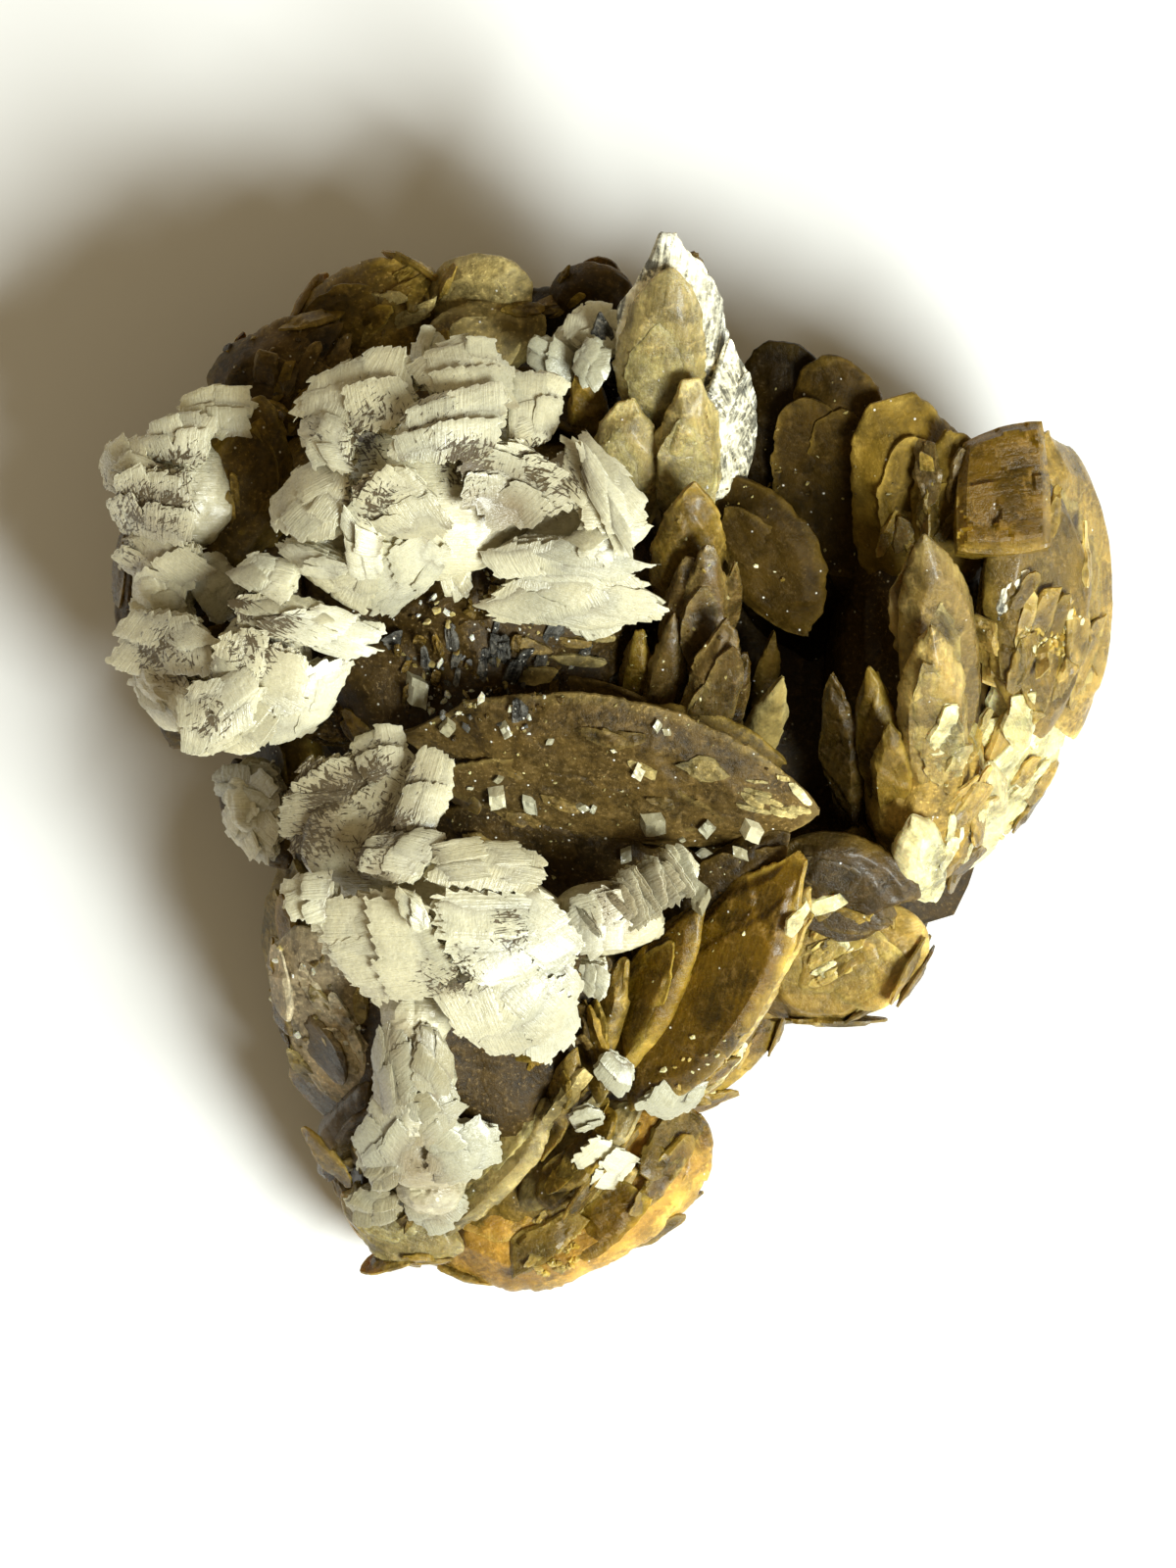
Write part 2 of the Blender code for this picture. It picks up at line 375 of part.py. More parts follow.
def plate_points(corners, rise, cells):
    """The plate's top as a grid of points: the corners' own surface, its edges bowed outwards and
    its middle lifted. Also the direction that it faces, which is the upward one."""
    p = np.array(corners, float)
    facing = np.cross(p[2] - p[0], p[3] - p[1])
    facing /= np.linalg.norm(facing)
    if facing[2] < 0:
        p, facing = p[::-1], -facing
    s, t = np.meshgrid(np.linspace(0, 1, cells + 1), np.linspace(0, 1, cells + 1), indexing="ij")
    s, t = s[..., None], t[..., None]
    flat = (1 - s) * (1 - t) * p[0] + s * (1 - t) * p[1] + s * t * p[2] + (1 - s) * t * p[3]
    q, r = 2 * s - 1, 2 * t - 1
    half_s, half_t = (p[1] + p[2] - p[0] - p[3]) / 4, (p[2] + p[3] - p[0] - p[1]) / 4
    swell = EDGE_SWELL * (q * (1 - r**2) * half_s + r * (1 - q**2) * half_t)
    return flat + swell + rise * (1 - q**2) * (1 - r**2) * facing, facing


def add_plate(mesh, corners, rise, thick, grow=0.0):
    """A curved plate: the grid of its top, the same grid lower down, and four strips of edge."""
    top, facing = plate_points(corners, rise, PLATE_CELLS)
    middle = top.mean(axis=(0, 1))
    outward = top - middle
    outward -= (outward @ facing)[..., None] * facing
    spread = np.linalg.norm(outward, axis=2, keepdims=True).max()
    top = top + grow * (facing + outward / spread * 1.4)
    bottom = top - (thick + 2 * grow) * facing
    rows = [[[mesh.verts.new(Vector(p) * MM) for p in row] for row in grid] for grid in (top, bottom)]
    last = PLATE_CELLS
    for i in range(last):
        for j in range(last):
            over, under = rows
            mesh.faces.new((over[i][j], over[i + 1][j], over[i + 1][j + 1], over[i][j + 1]))
            mesh.faces.new((under[i][j], under[i][j + 1], under[i + 1][j + 1], under[i + 1][j]))
    edge = [(i, 0) for i in range(last)] + [(last, j) for j in range(last)]
    edge += [(i, last) for i in range(last, 0, -1)] + [(0, j) for j in range(last, 0, -1)]
    for (a, b), (c, d) in zip(edge, edge[1:] + edge[:1]):
        mesh.faces.new((rows[1][a][b], rows[1][c][d], rows[0][c][d], rows[0][a][b]))


# ------------------------------------------------------------- objects and joins


def object_of(name, fill, *args, **extra):
    """A new mesh object, filled by one of the add_ functions."""
    mesh = bmesh.new()
    fill(mesh, *args, **extra)
    data = bpy.data.meshes.new(name)
    mesh.to_mesh(data)
    mesh.free()
    made = bpy.data.objects.new(name, data)
    bpy.context.scene.collection.objects.link(made)
    return made


def helpers_of(name, pieces):
    """A collection of cutters or shapes to join, which isn't rendered itself."""
    group = bpy.data.collections.new(name)
    bpy.context.scene.collection.children.link(group)
    for piece in pieces:
        bpy.context.scene.collection.objects.unlink(piece)
        group.objects.link(piece)
        piece.hide_render = True
        piece.display_type = "WIRE"
    return group


def apply_step(target, step):
    """The target's mesh as the modifier leaves it."""
    graph = bpy.context.evaluated_depsgraph_get()
    data = bpy.data.meshes.new_from_object(target.evaluated_get(graph))
    target.modifiers.remove(step)
    target.data = data


def apply_boolean(target, operation, group):
    """The target joined with, or cut by, everything in a collection."""
    step = target.modifiers.new(operation.title(), "BOOLEAN")
    step.operation, step.solver = operation, "EXACT"
    step.operand_type, step.collection = "COLLECTION", group
    apply_step(target, step)


def thin_out(target, share):
    """Merges the slivers that joins leave, down to a share of the triangles."""
    step = target.modifiers.new("Thin out", "DECIMATE")
    step.ratio = share
    apply_step(target, step)


def islands_of(mesh):
    """The faces of each connected piece of a bmesh. Pieces that only touch along an edge, where
    four faces meet, count as two."""
    left = set(mesh.faces)
    while left:
        found, edge = set(), [left.pop()]
        while edge:
            face = edge.pop()
            found.add(face)
            sides = [side.link_faces for side in face.edges if len(side.link_faces) == 2]
            near = {other for pair in sides for other in pair} & left
            left -= near
            edge.extend(near)
        yield found


def keep_main_island(target):
    """Drops what a cut left loose, and the walls of sealed hollows, and closes pinholes."""
    mesh = bmesh.new()
    mesh.from_mesh(target.data)
    bmesh.ops.triangulate(mesh, faces=mesh.faces)
    groups = list(islands_of(mesh))
    volumes = [sum(f.verts[0].co.dot(f.verts[1].co.cross(f.verts[2].co)) for f in g) for g in groups]
    main = groups[int(np.argmax(volumes))]
    bmesh.ops.delete(mesh, geom=[f for f in mesh.faces if f not in main], context="FACES")
    bmesh.ops.holes_fill(mesh, edges=[e for e in mesh.edges if e.is_boundary])
    bmesh.ops.triangulate(mesh, faces=mesh.faces)
    mesh.to_mesh(target.data)
    mesh.free()


def finish_of(name, colour, roughness):
    """A plain Principled finish."""
    finish = bpy.data.materials.new(name)
    finish.use_nodes = True
    shader = finish.node_tree.nodes["Principled BSDF"]
    shader.inputs["Base Color"].default_value = (*colour, 1)
    shader.inputs["Roughness"].default_value = roughness
    shader.inputs["Metallic"].default_value = 0.0
    return finish


# ------------------------------------------------------------------ the specimen


def siderite_shapes(prefix, grow):
    """Every blade, block and core of the siderite as an object, grown by a margin."""
    shapes = []
    for name, (centre, radii) in CORES.items():
        detail = CORE_DETAIL if max(radii) > 13.5 else ROOT_DETAIL
        shapes.append(object_of(prefix + name, add_lump, centre, radii, detail, grow=grow))
    for name, row in BLADES.items():
        power = ROUNDED if name in ROUND_BLADES else POINTED
        shapes.append(object_of(prefix + name, add_blade, *row, power, RIM_POINTS, grow=grow))
    for name, row in skirt_blades().items():
        shapes.append(object_of(prefix + name, add_blade, *row, ROUNDED, SKIRT_POINTS, grow=grow))
    for name, (*corners, rise, thick) in BLOCKS.items():
        shapes.append(object_of(prefix + name, add_plate, corners, rise, thick, grow=grow))
    return shapes


def joined_seat():
    """The siderite grown by the clearance, as one solid that cuts the dolomite."""
    seat, *others = siderite_shapes("seat_", CLEARANCE)
    apply_boolean(seat, "UNION", helpers_of("seat_parts", others))
    keep_main_island(seat)
    return seat


def make_siderite(finish):
    """All the siderite joined into one solid, cut flat where it rests."""
    siderite, *others = siderite_shapes("part_", 0.0)
    siderite.name = siderite.data.name = "siderite_blades"
    apply_boolean(siderite, "UNION", helpers_of("siderite_parts", others))
    thin_out(siderite, SIDERITE_SHARE)
    slab = object_of("floor_cutter", bmesh.ops.create_cube, size=2 * UNDER_FLOOR * MM)
    slab.scale = (4, 4, 1)
    slab.location.z = -UNDER_FLOOR * MM
    apply_boolean(siderite, "DIFFERENCE", helpers_of("floor", [slab]))
    keep_main_island(siderite)
    siderite.data.materials.append(finish)
    return siderite


def cluster_shapes(prefix, cluster, grow):
    """The roots and plates of a dolomite cluster as objects, grown by a margin."""
    shapes = [
        object_of(f"{prefix}root_{k}", add_lump, *lump, ROOT_DETAIL, grow=grow)
        for k, lump in enumerate(cluster["root"])
    ]
    for k, (*corners, rise) in enumerate(cluster["plates"]):
        shapes.append(
            object_of(f"{prefix}plate_{k}", add_plate, corners, rise, cluster["thick"], grow=grow)
        )
    return shapes


def make_dolomite(name, shapes, seats, finish):
    """Shapes joined into one solid, cut by the siderite that it grew on and by earlier neighbours. A
    cluster is then thinned out and cut again, where thinning brought it back too near."""
    made, *others = shapes
    made.name = made.data.name = name
    if others:
        apply_boolean(made, "UNION", helpers_of(name + "_parts", others))
    for share in (CLUSTER_SHARE, 1) if others else (1,):
        for seat in seats:
            apply_boolean(made, "DIFFERENCE", seat)
        keep_main_island(made)
        if share < 1:
            thin_out(made, share)
    made.data.materials.append(finish)
    return made


def add_rhomb(mesh, centre, out, edge, turn):
    """A rhombohedron standing on one of its faces: a cube sheared towards a corner."""
    across = out.cross(Vector((math.sin(turn), math.cos(turn), 0.2))).normalized()
    along = across.cross(out)
    sides = [
        along,
        along * RHOMB_COSINE + across * math.sqrt(1 - RHOMB_COSINE**2),
        out * 0.9 + (along + across) * 0.25,
    ]
    for vert in bmesh.ops.create_cube(mesh, size=1.0)["verts"]:
        place = sum((side * edge * share for side, share in zip(sides, vert.co)), Vector())
        vert.co = (centre + place) * MM
    bmesh.ops.recalc_face_normals(mesh, faces=mesh.faces)


def surface_under(solid, spot):
    """Where a line dropped at a spot (mm) first meets a solid, and which way its face looks."""
    tree = BVHTree.FromPolygons([v.co for v in solid.data.vertices], [p.vertices for p in solid.data.polygons])
    place, facing, _, _ = tree.ray_cast(Vector((*spot, 200)) * MM, Vector((0, 0, -1)))
    return place / MM, facing


def main():
    for old in list(bpy.data.objects):
        bpy.data.objects.remove(old)
    brown = finish_of("siderite_brown", SIDERITE_COLOUR, SIDERITE_ROUGHNESS)
    white = finish_of("dolomite_white", DOLOMITE_COLOUR, DOLOMITE_ROUGHNESS)
    siderite = make_siderite(brown)
    seats = [helpers_of("siderite_seats", [joined_seat()])]
    for name, cluster in CLUSTERS.items():
        make_dolomite(name, cluster_shapes(name + "_", cluster, 0.0), seats, white)
        seats.append(helpers_of(name + "_gap", cluster_shapes(name + "_gap_", cluster, PLATE_GAP)))
    for name, (*corners, rise) in FLAKES.items():
        make_dolomite(name, [object_of(name, add_plate, corners, rise, FLAKE_THICK)], seats, white)
    for name, (spot, edge, turn) in RHOMBS.items():
        place, facing = surface_under(siderite, spot)
        centre = place + facing * (RHOMB_SINK * edge)
        shape = object_of(name, add_rhomb, centre, facing, edge, math.radians(turn))
        make_dolomite(name, [shape], seats[:1], white)


main()
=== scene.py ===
# %% [markdown]
# # A siderite specimen with white dolomite
#
# Siderite is iron carbonate. Here it grew as brown blades, each shaped like a flat lens, that fan out
# and overlap like petals. Later the white mineral dolomite grew on them, as curved saddle-shaped plates
# in clusters and as lone rhombs. This script dresses the plain solids of the frame with finely shaped
# crystals: every blade and plate is a surface worked out with numpy on a grid.
#
# All sizes below are in millimetres in the frame's own axes: +Z up, +Y towards the tall blade. Meshes
# are scaled to metres once, when they are made.

import math

import bpy
import numpy as np
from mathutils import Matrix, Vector
from mathutils.bvhtree import BVHTree


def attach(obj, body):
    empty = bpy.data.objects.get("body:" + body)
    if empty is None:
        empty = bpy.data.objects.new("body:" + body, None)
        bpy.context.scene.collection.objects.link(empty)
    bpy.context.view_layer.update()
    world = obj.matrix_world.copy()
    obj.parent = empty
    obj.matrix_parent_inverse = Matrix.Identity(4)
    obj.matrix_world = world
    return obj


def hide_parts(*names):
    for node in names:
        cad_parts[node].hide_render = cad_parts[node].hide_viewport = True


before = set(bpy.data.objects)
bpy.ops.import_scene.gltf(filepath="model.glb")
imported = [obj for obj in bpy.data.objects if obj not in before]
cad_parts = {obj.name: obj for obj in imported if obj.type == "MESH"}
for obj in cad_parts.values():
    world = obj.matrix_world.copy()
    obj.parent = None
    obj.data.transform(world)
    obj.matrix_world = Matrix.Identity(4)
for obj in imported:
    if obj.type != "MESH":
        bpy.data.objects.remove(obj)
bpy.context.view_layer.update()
MM = 0.001
scene = bpy.context.scene

# %% [markdown]
# ## Noise that repeats
#
# Natural surfaces need uneven numbers that vary smoothly and are the same on every run. Blender's own
# noise could be called point by point, but whole arrays are quicker: a hash gives the corners of a
# lattice their values, and a smooth blend fills in between. The mosaic cuts a surface into cells, each
# with its own level and lean, like a crystal face that is built of many smaller crystals.

# %% Lattice noise and mosaic cells
HASH_PRIMES = np.array([73856093, 19349663, 83492791], np.int64)
CELL_SHEAR, CELL_JITTER = 0.35, 0.42  # how far mosaic cells slant, and their centres stray, in cells


def lattice(cells, seed):
    """A value from -1 to 1 for each whole-numbered cell: a hash of its numbers and the seed."""
    mixed = (cells * HASH_PRIMES[: cells.shape[-1]]).sum(axis=-1) + np.int64(seed) * 97_531_357
    mixed = (mixed ^ (mixed >> 13)) * 1_274_126_177
    mixed = (mixed ^ (mixed >> 17)) * 668_265_263
    return ((mixed >> 8) & 0xFFFF) / 32767.5 - 1


def dice(seed, number):
    """One value from -1 to 1 for a seed and a number."""
    return float(lattice(np.array([[seed, number]]), 7)[0])


def noise(points, size, seed):
    """Smooth noise from -1 to 1: the lattice values at the corners of the cell around each point,
    blended with weights f * f * (3 - 2 f) of the place f inside the cell."""
    place = points / size
    low = np.floor(place).astype(np.int64)
    part = place - low
    part = part * part * (3 - 2 * part)
    total = 0
    for corner in np.ndindex(*[2] * points.shape[-1]):
        turn = np.array(corner)
        total = total + np.prod(np.where(turn, part, 1 - part), axis=-1) * lattice(low + turn, seed)
    return total


def mosaic(u, v, cell, step, lean, seed):
    """Relief of a face built of sub-crystals. Each point belongs to the nearest of a lattice of
    jittered centres, by the larger of its two offsets, so that the cells are blocky. The height is the
    cell's own level, up to `step`, plus its own slope, up to `lean`, times the offset."""
    place = np.stack([u + CELL_SHEAR * v, v], axis=-1) / cell
    low = np.floor(place).astype(np.int64)
    best = np.full(u.shape, np.inf)
    height = np.zeros(u.shape)
    for shift in np.ndindex(3, 3):
        cells = low + np.array(shift) - 1
        jitter = np.stack([lattice(cells, seed + 1), lattice(cells, seed + 2)], axis=-1)
        away = place - cells - 0.5 - CELL_JITTER * jitter
        span = np.abs(away).max(axis=-1)
        slopes = np.stack([lattice(cells, seed + 3), lattice(cells, seed + 4)], axis=-1)
        own = step * lattice(cells, seed + 5) + lean * cell * (slopes * away).sum(axis=-1)
        height = np.where(span < best, own, height)
        best = np.minimum(best, span)
    return height


def smooth_step(low, high, value):
    """0 below low, 1 above high, and an S-curve between."""
    part = np.clip((value - low) / (high - low), 0, 1)
    return part * part * (3 - 2 * part)


print("noise at three places", noise(np.array([[0.5, 0.5], [1.5, 0.5], [2.5, 0.5]]), 1.0, 1).round(3))

# %% [markdown]
# ## Closed slabs from grids
#
# Both minerals grow as thin bodies with a top, a bottom and an edge, so one builder serves them all: it
# takes an upper and a lower grid of points and joins them round the edge with a wall. The Solidify
# modifier could also make the walls, but it wouldn't let the underside differ.


# %% Slabs and balls
def slab(top, bottom):
    """Points and faces of a closed body: the top grid, the bottom grid turned over, and a wall of faces
    between their edges."""
    rows, columns = top.shape[:2]
    first = np.arange(rows * columns).reshape(rows, columns)
    rim = np.concatenate([first[:-1, 0], first[-1, :-1], first[:0:-1, -1], first[0, :0:-1]])
    following = np.roll(rim, -1)
    under = rows * columns
    wall = np.stack([rim + under, following + under, following, rim], axis=-1)
    faces = np.stack([first[:-1, :-1], first[1:, :-1], first[1:, 1:], first[:-1, 1:]], axis=-1).reshape(-1, 4)
    points = np.concatenate([top.reshape(-1, 3), bottom.reshape(-1, 3)])
    return points, np.concatenate([faces, faces[:, ::-1] + under, wall])


def ball(centre, radii, rows, columns):
    """An ellipsoid of rings of latitude, closed by one point at each pole: its points, the same points
    on a ball of radius 1, its four-cornered faces, and the triangles at its poles."""
    tilt = np.linspace(0, math.pi, rows + 2)[1:-1, None]
    turn = np.linspace(0, 2 * math.pi, columns, endpoint=False)[None, :]
    ring = np.stack([np.sin(tilt) * np.cos(turn), np.sin(tilt) * np.sin(turn), np.cos(tilt) + 0 * turn], -1)
    unit = np.concatenate([ring.reshape(-1, 3), [[0, 0, 1], [0, 0, -1]]])
    first = np.arange(rows * columns).reshape(rows, columns)
    beside = np.roll(first, -1, axis=1)
    bands = np.stack([first[:-1], first[1:], beside[1:], beside[:-1]], axis=-1).reshape(-1, 4)
    pole = rows * columns
    cap = np.stack([np.full(columns, pole), first[0], beside[0]], axis=-1)
    foot = np.stack([np.full(columns, pole + 1), beside[-1], first[-1]], axis=-1)
    return np.array(centre) + unit * np.array(radii), unit, bands, np.concatenate([cap, foot])


# %% [markdown]
# Many bodies go into one mesh. Each brings values for every point, which the finishes read later: its
# tint, and its place on the blade or plate, so that stripes follow the crystal and not the world. The
# piece then gets its material and hangs on the specimen's root, and the plain solids that it stands for
# are hidden.

# %% From bodies to a piece
# Faces that meet at a larger angle than this, in radians, keep a hard edge between them.
SOFT_EDGE, PLATE_EDGE, SMALL_EDGE = 0.7, 0.4, 0.3


def placed(u, v, shift):
    """The values "surface" of a grid: places on the crystal itself, and a shift that sets it apart."""
    return np.stack([u, v, 0 * u + shift, 0 * u + 1], axis=-1)


def both_sides(layers):
    """Values of a grid, repeated for the two sides of a slab."""
    return {key: np.tile(value.reshape(-1, 4), (2, 1)) for key, value in layers.items()}


def mesh_of(name, bodies):
    """One mesh, in metres, from a list of bodies, each (points in mm, list of face arrays, values)."""
    mesh = bpy.data.meshes.new(name)
    points, corners, sizes, start = [], [], [], 0
    for body_points, face_sets, _ in bodies:
        points.append(body_points)
        for faces in face_sets:
            corners.append((faces + start).ravel())
            sizes.append(np.full(len(faces), faces.shape[1]))
        start += len(body_points)
    points, corners, sizes = (np.concatenate(part) for part in (points, corners, sizes))
    mesh.vertices.add(len(points))
    mesh.vertices.foreach_set("co", (points * MM).astype(np.float32).ravel())
    mesh.loops.add(len(corners))
    mesh.loops.foreach_set("vertex_index", corners.astype(np.int32))
    mesh.polygons.add(len(sizes))
    mesh.polygons.foreach_set("loop_start", (np.cumsum(sizes) - sizes).astype(np.int32))
    mesh.update(calc_edges=True)
    mesh.validate()
    for key in bodies[0][2]:
        values = np.concatenate([body[2][key] for body in bodies]).astype(np.float32)
        kind, field = ("FLOAT_COLOR", "color") if values.ndim == 2 else ("FLOAT", "value")
        mesh.attributes.new(key, kind, "POINT").data.foreach_set(field, values.ravel())
    mesh.polygons.foreach_set("use_smooth", np.ones(len(sizes), bool))
    return mesh


def make_piece(name, bodies, finish, nodes, sharp=SOFT_EDGE):
    """One object from a list of bodies, hung on the specimen's root, with the named nodes, if any,
    hidden in its place."""
    mesh = mesh_of(name, bodies)
    mesh.set_sharp_from_angle(angle=sharp)
    mesh.materials.append(finish)
    piece = bpy.data.objects.new(name, mesh)
    scene.collection.objects.link(piece)
    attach(piece, "root")
    if nodes:
        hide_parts(*nodes)
    mesh.calc_loop_triangles()
    print(f"{name}: {len(bodies)} crystals, {len(mesh.loop_triangles)} triangles")


def siderite_piece(name, bodies, finish, sharp=SOFT_EDGE):
    """A piece of siderite. Together, all such pieces stand for the one solid of siderite blades."""
    make_piece(name, bodies, finish, ["siderite_blades"], sharp)


# %% [markdown]
# ## The siderite blades
#
# A blade is a flattened lens with a blunt, toothed rim that straight cuts interrupt. Its faces carry fine
# stripes and low steps, where layers have broken away. The colour changes at the rim, where the lens is
# thin and light comes through.
#
# A blade could be sculpted or cut from a cube with Booleans. A formula on a grid is better here, because
# one function gives seventy blades that all differ. First come its directions, and how its outline is
# cut and torn.

# %% Directions and outline of a blade
TEETH = 0.34  # mm, how far the steps of the rim stand back
LONG_TOOTH, SHORT_TOOTH = 1.6, 0.6  # mm along the rim
CUT_SPREAD = 0.35  # how far straight cuts stray from even spacing


def blade_axes(tail, tip, roll):
    """Middle, length, and unit vectors along, across and out of a blade that runs from tail to tip. At
    roll 0 it lies as level as it can; a positive roll, in degrees, lifts its left edge."""
    tail, tip = np.array(tail, float), np.array(tip, float)
    length = np.linalg.norm(tip - tail)
    along = (tip - tail) / length
    level = np.array([-along[1], along[0], 0.0])
    level /= np.linalg.norm(level)
    up = np.cross(along, level)
    turn = math.radians(roll)
    across = level * math.cos(turn) + up * math.sin(turn)
    return (tail + tip) / 2, length, along, across, np.cross(along, across)


def straight_cuts(angle, seed, cuts, low):
    """How far a crystal reaches at each angle, as a share: the nearest of several straight cuts, each
    across its own direction at its own distance, which is at least `low`."""
    reach = np.ones(angle.shape)
    for k in range(cuts):
        turn, away = dice(seed, k), dice(seed, k + 50)
        facing = np.cos(angle - 2 * math.pi * (k + CUT_SPREAD * turn) / cuts)
        distance = low + (1.05 - low) * (0.5 + 0.5 * away)
        reach = np.minimum(reach, distance / np.maximum(facing, 0.3))
    return np.minimum(reach, 1.0)


def rim_steps(run, seed):
    """How far a rim stands back at each place along it, in mm: long and short steps, each of one depth
    from end to end, so that the rim looks torn along straight cleavage lines."""
    broad = np.abs(lattice(np.floor(run / LONG_TOOTH + 0.3).astype(np.int64), seed))
    fine = np.abs(lattice(np.floor(run / SHORT_TOOTH).astype(np.int64), seed + 1))
    return TEETH * (broad**2 + 0.55 * fine + 0.5 * noise(run, 5.0, seed + 2))


# %% [markdown]
# A face is not smooth. Layers have come off it along ragged straight lines, and what is left carries
# stripes, blocky cells and a fine grain. Its colour blends into that of the rim, and is mottled.

# %% Faces of a blade
LAYER, LAYERS = 0.30, 4  # mm, the height of a broken layer, and how many there are
STRIPE_HEIGHT, STRIPE_SIZE = 0.035, np.array([6.0, 0.6])  # mm, and how long and wide stripes are
CELL_HEIGHT, CELL_LEAN = 0.08, 0.03  # mm, and slope
GRAIN_HEIGHT, GRAIN_SIZE = 0.02, 0.7  # mm
RIM_GLOW = 1.2  # mm, how far in the colour of the rim reaches


def broken_layers(u, v, size, seed):
    """How many layers are missing at each point: beyond a ragged straight line in some direction, one
    layer has come off."""
    missing = np.zeros(u.shape)
    for k in range(LAYERS):
        turn = math.pi * dice(seed, k + 7)
        line = (u * math.cos(turn) + v * math.sin(turn)) / size
        ragged = 0.05 * noise(np.stack([u, v], axis=-1), 0.14 * size + 0.5, seed + k)
        missing += smooth_step(0, 0.02, line + ragged - 0.15 - 0.3 * abs(dice(seed, k + 90)))
    return missing


def face_relief(u, v, width, seed, side):
    """Low relief of one face in mm: stripes along the blade, a mosaic of blocky cells and fine grain."""
    flat = np.stack([u, v], axis=-1)
    stripes = STRIPE_HEIGHT * noise(flat / STRIPE_SIZE, 1.0, seed + 17)
    cells = mosaic(u, v, 0.12 * width + 1.0, CELL_HEIGHT, CELL_LEAN, seed + 23 * side)
    return stripes + cells + GRAIN_HEIGHT * noise(flat, GRAIN_SIZE, seed + 31 * side)


def blade_colour(flat, q, away, tint, rim_tint, seed):
    """The tint of the face, blended into that of the rim by the distance away from it, and multiplied by
    a mottle of noise and by a painted shade that darkens it towards the hidden end, where q is -1."""
    rim = smooth_step(RIM_GLOW, 0.1, away + 0.35 * noise(flat, 1.1, seed + 2))
    rim = (rim * (0.6 + 0.4 * noise(flat, 3.5, seed + 12)))[..., None]
    mottle = 1 + 0.12 * dice(seed, 1) + 0.20 * noise(flat, 3.0, seed + 8) + 0.10 * noise(flat, 0.9, seed + 9)
    # Painted shade: the face grows darker towards its hidden end, under the other blades.
    mottle = mottle * (0.80 + 0.28 * smooth_step(-0.8, 0.8, q))
    colour = (np.array(tint) * (1 - rim) + np.array(rim_tint) * rim) * mottle[..., None]
    return np.concatenate([colour, 0 * rim + 1], axis=-1)


# %% [markdown]
# Now the blade itself: a grid whose rows run across it, laid on its axes twice, once for each face.

# %% One blade
GRID_STEP = 0.34  # mm between points on a blade
FLAT_SHARE = 0.64  # how far out the flat of a lens reaches
RIM_THICK = 0.12  # mm, half the thickness of the blunt rim
EVEN_SHARE = 0.6  # how evenly the rows are spaced: the rest draws them together at the ends


def blade(tail, tip, width, thick, roll, tint, rim_tint, power, seed,
          step=GRID_STEP, relief=1.0, cuts=9, low=0.90, flat_share=FLAT_SHARE):
    """A lens-shaped body. With q from -1 to 1 along it and r from -1 to 1 across it, the outline's half
    width is (1 - q^2)^(power / 2), cut straight in places and torn in steps. The height of each face is
    a lens that is flat inside flat_share, less the broken layers, plus the low relief."""
    centre, length, along, across, out = blade_axes(tail, tip, roll)
    even = np.linspace(-1, 1, max(14, int(length / step)))[:, None]
    q = EVEN_SHARE * even + (1 - EVEN_SHARE) * np.sin(even * math.pi / 2)
    r = np.linspace(-1, 1, max(9, int(width / step)))[None, :]
    outline = np.maximum((1 - q**2) ** (power / 2), 0.05)
    run = np.stack([q * length / 2, 0 * q], axis=-1)
    back = np.where(r < 0, rim_steps(run, seed + 3), rim_steps(run, seed + 9))
    cut = straight_cuts(np.arctan2(r * np.sqrt(1 - q**2), q + 0 * r), seed, cuts, low)
    half = outline * cut * width / 2
    back = np.clip(back, 0, 0.4 * half)
    u, v = np.broadcast_arrays(q * cut * length / 2, r * (half - back * np.abs(r) ** 6))
    radius = np.sqrt(q**2 + r**2 * (1 - q**2))
    bevel = np.clip((1 - radius) / (1 - flat_share), 0, 1) ** 0.85
    inner = smooth_step(0, 0.15, 1 - radius)
    bodies = []
    for side in (1, -1):
        layers = LAYER * broken_layers(u, v, min(length, 1.6 * width), seed + 5 * side)
        low_relief = (relief * face_relief(u, v, width, seed, side) - layers) * inner
        height = side * (RIM_THICK + np.maximum((thick / 2 - RIM_THICK) * bevel + low_relief, 0.0))
        bodies.append(centre + u[..., None] * along + v[..., None] * across + height[..., None] * out)
    points, faces = slab(*bodies)
    away = np.minimum(half * (1 - np.abs(r)), 0.3 * length * (1 - np.abs(q)))
    colour = blade_colour(np.stack([u, v], axis=-1), q, away, tint, rim_tint, seed)
    slant = 0.5 * dice(seed, 4)
    turned = u * math.cos(slant) - v * math.sin(slant), u * math.sin(slant) + v * math.cos(slant)
    surface = placed(*turned, 7.0 * dice(seed, 6))
    return points, [faces], both_sides({"tint": colour, "surface": surface})


# %% [markdown]
# ## Colours of siderite
#
# Siderite runs from near black through browns to honey and gold, and is lighter where it is thin. Each
# name below stands for two tints: that of the face, and that of the rim, where light comes through. A
# colour ramp in the material could do this, but a tint per blade keeps neighbours apart.

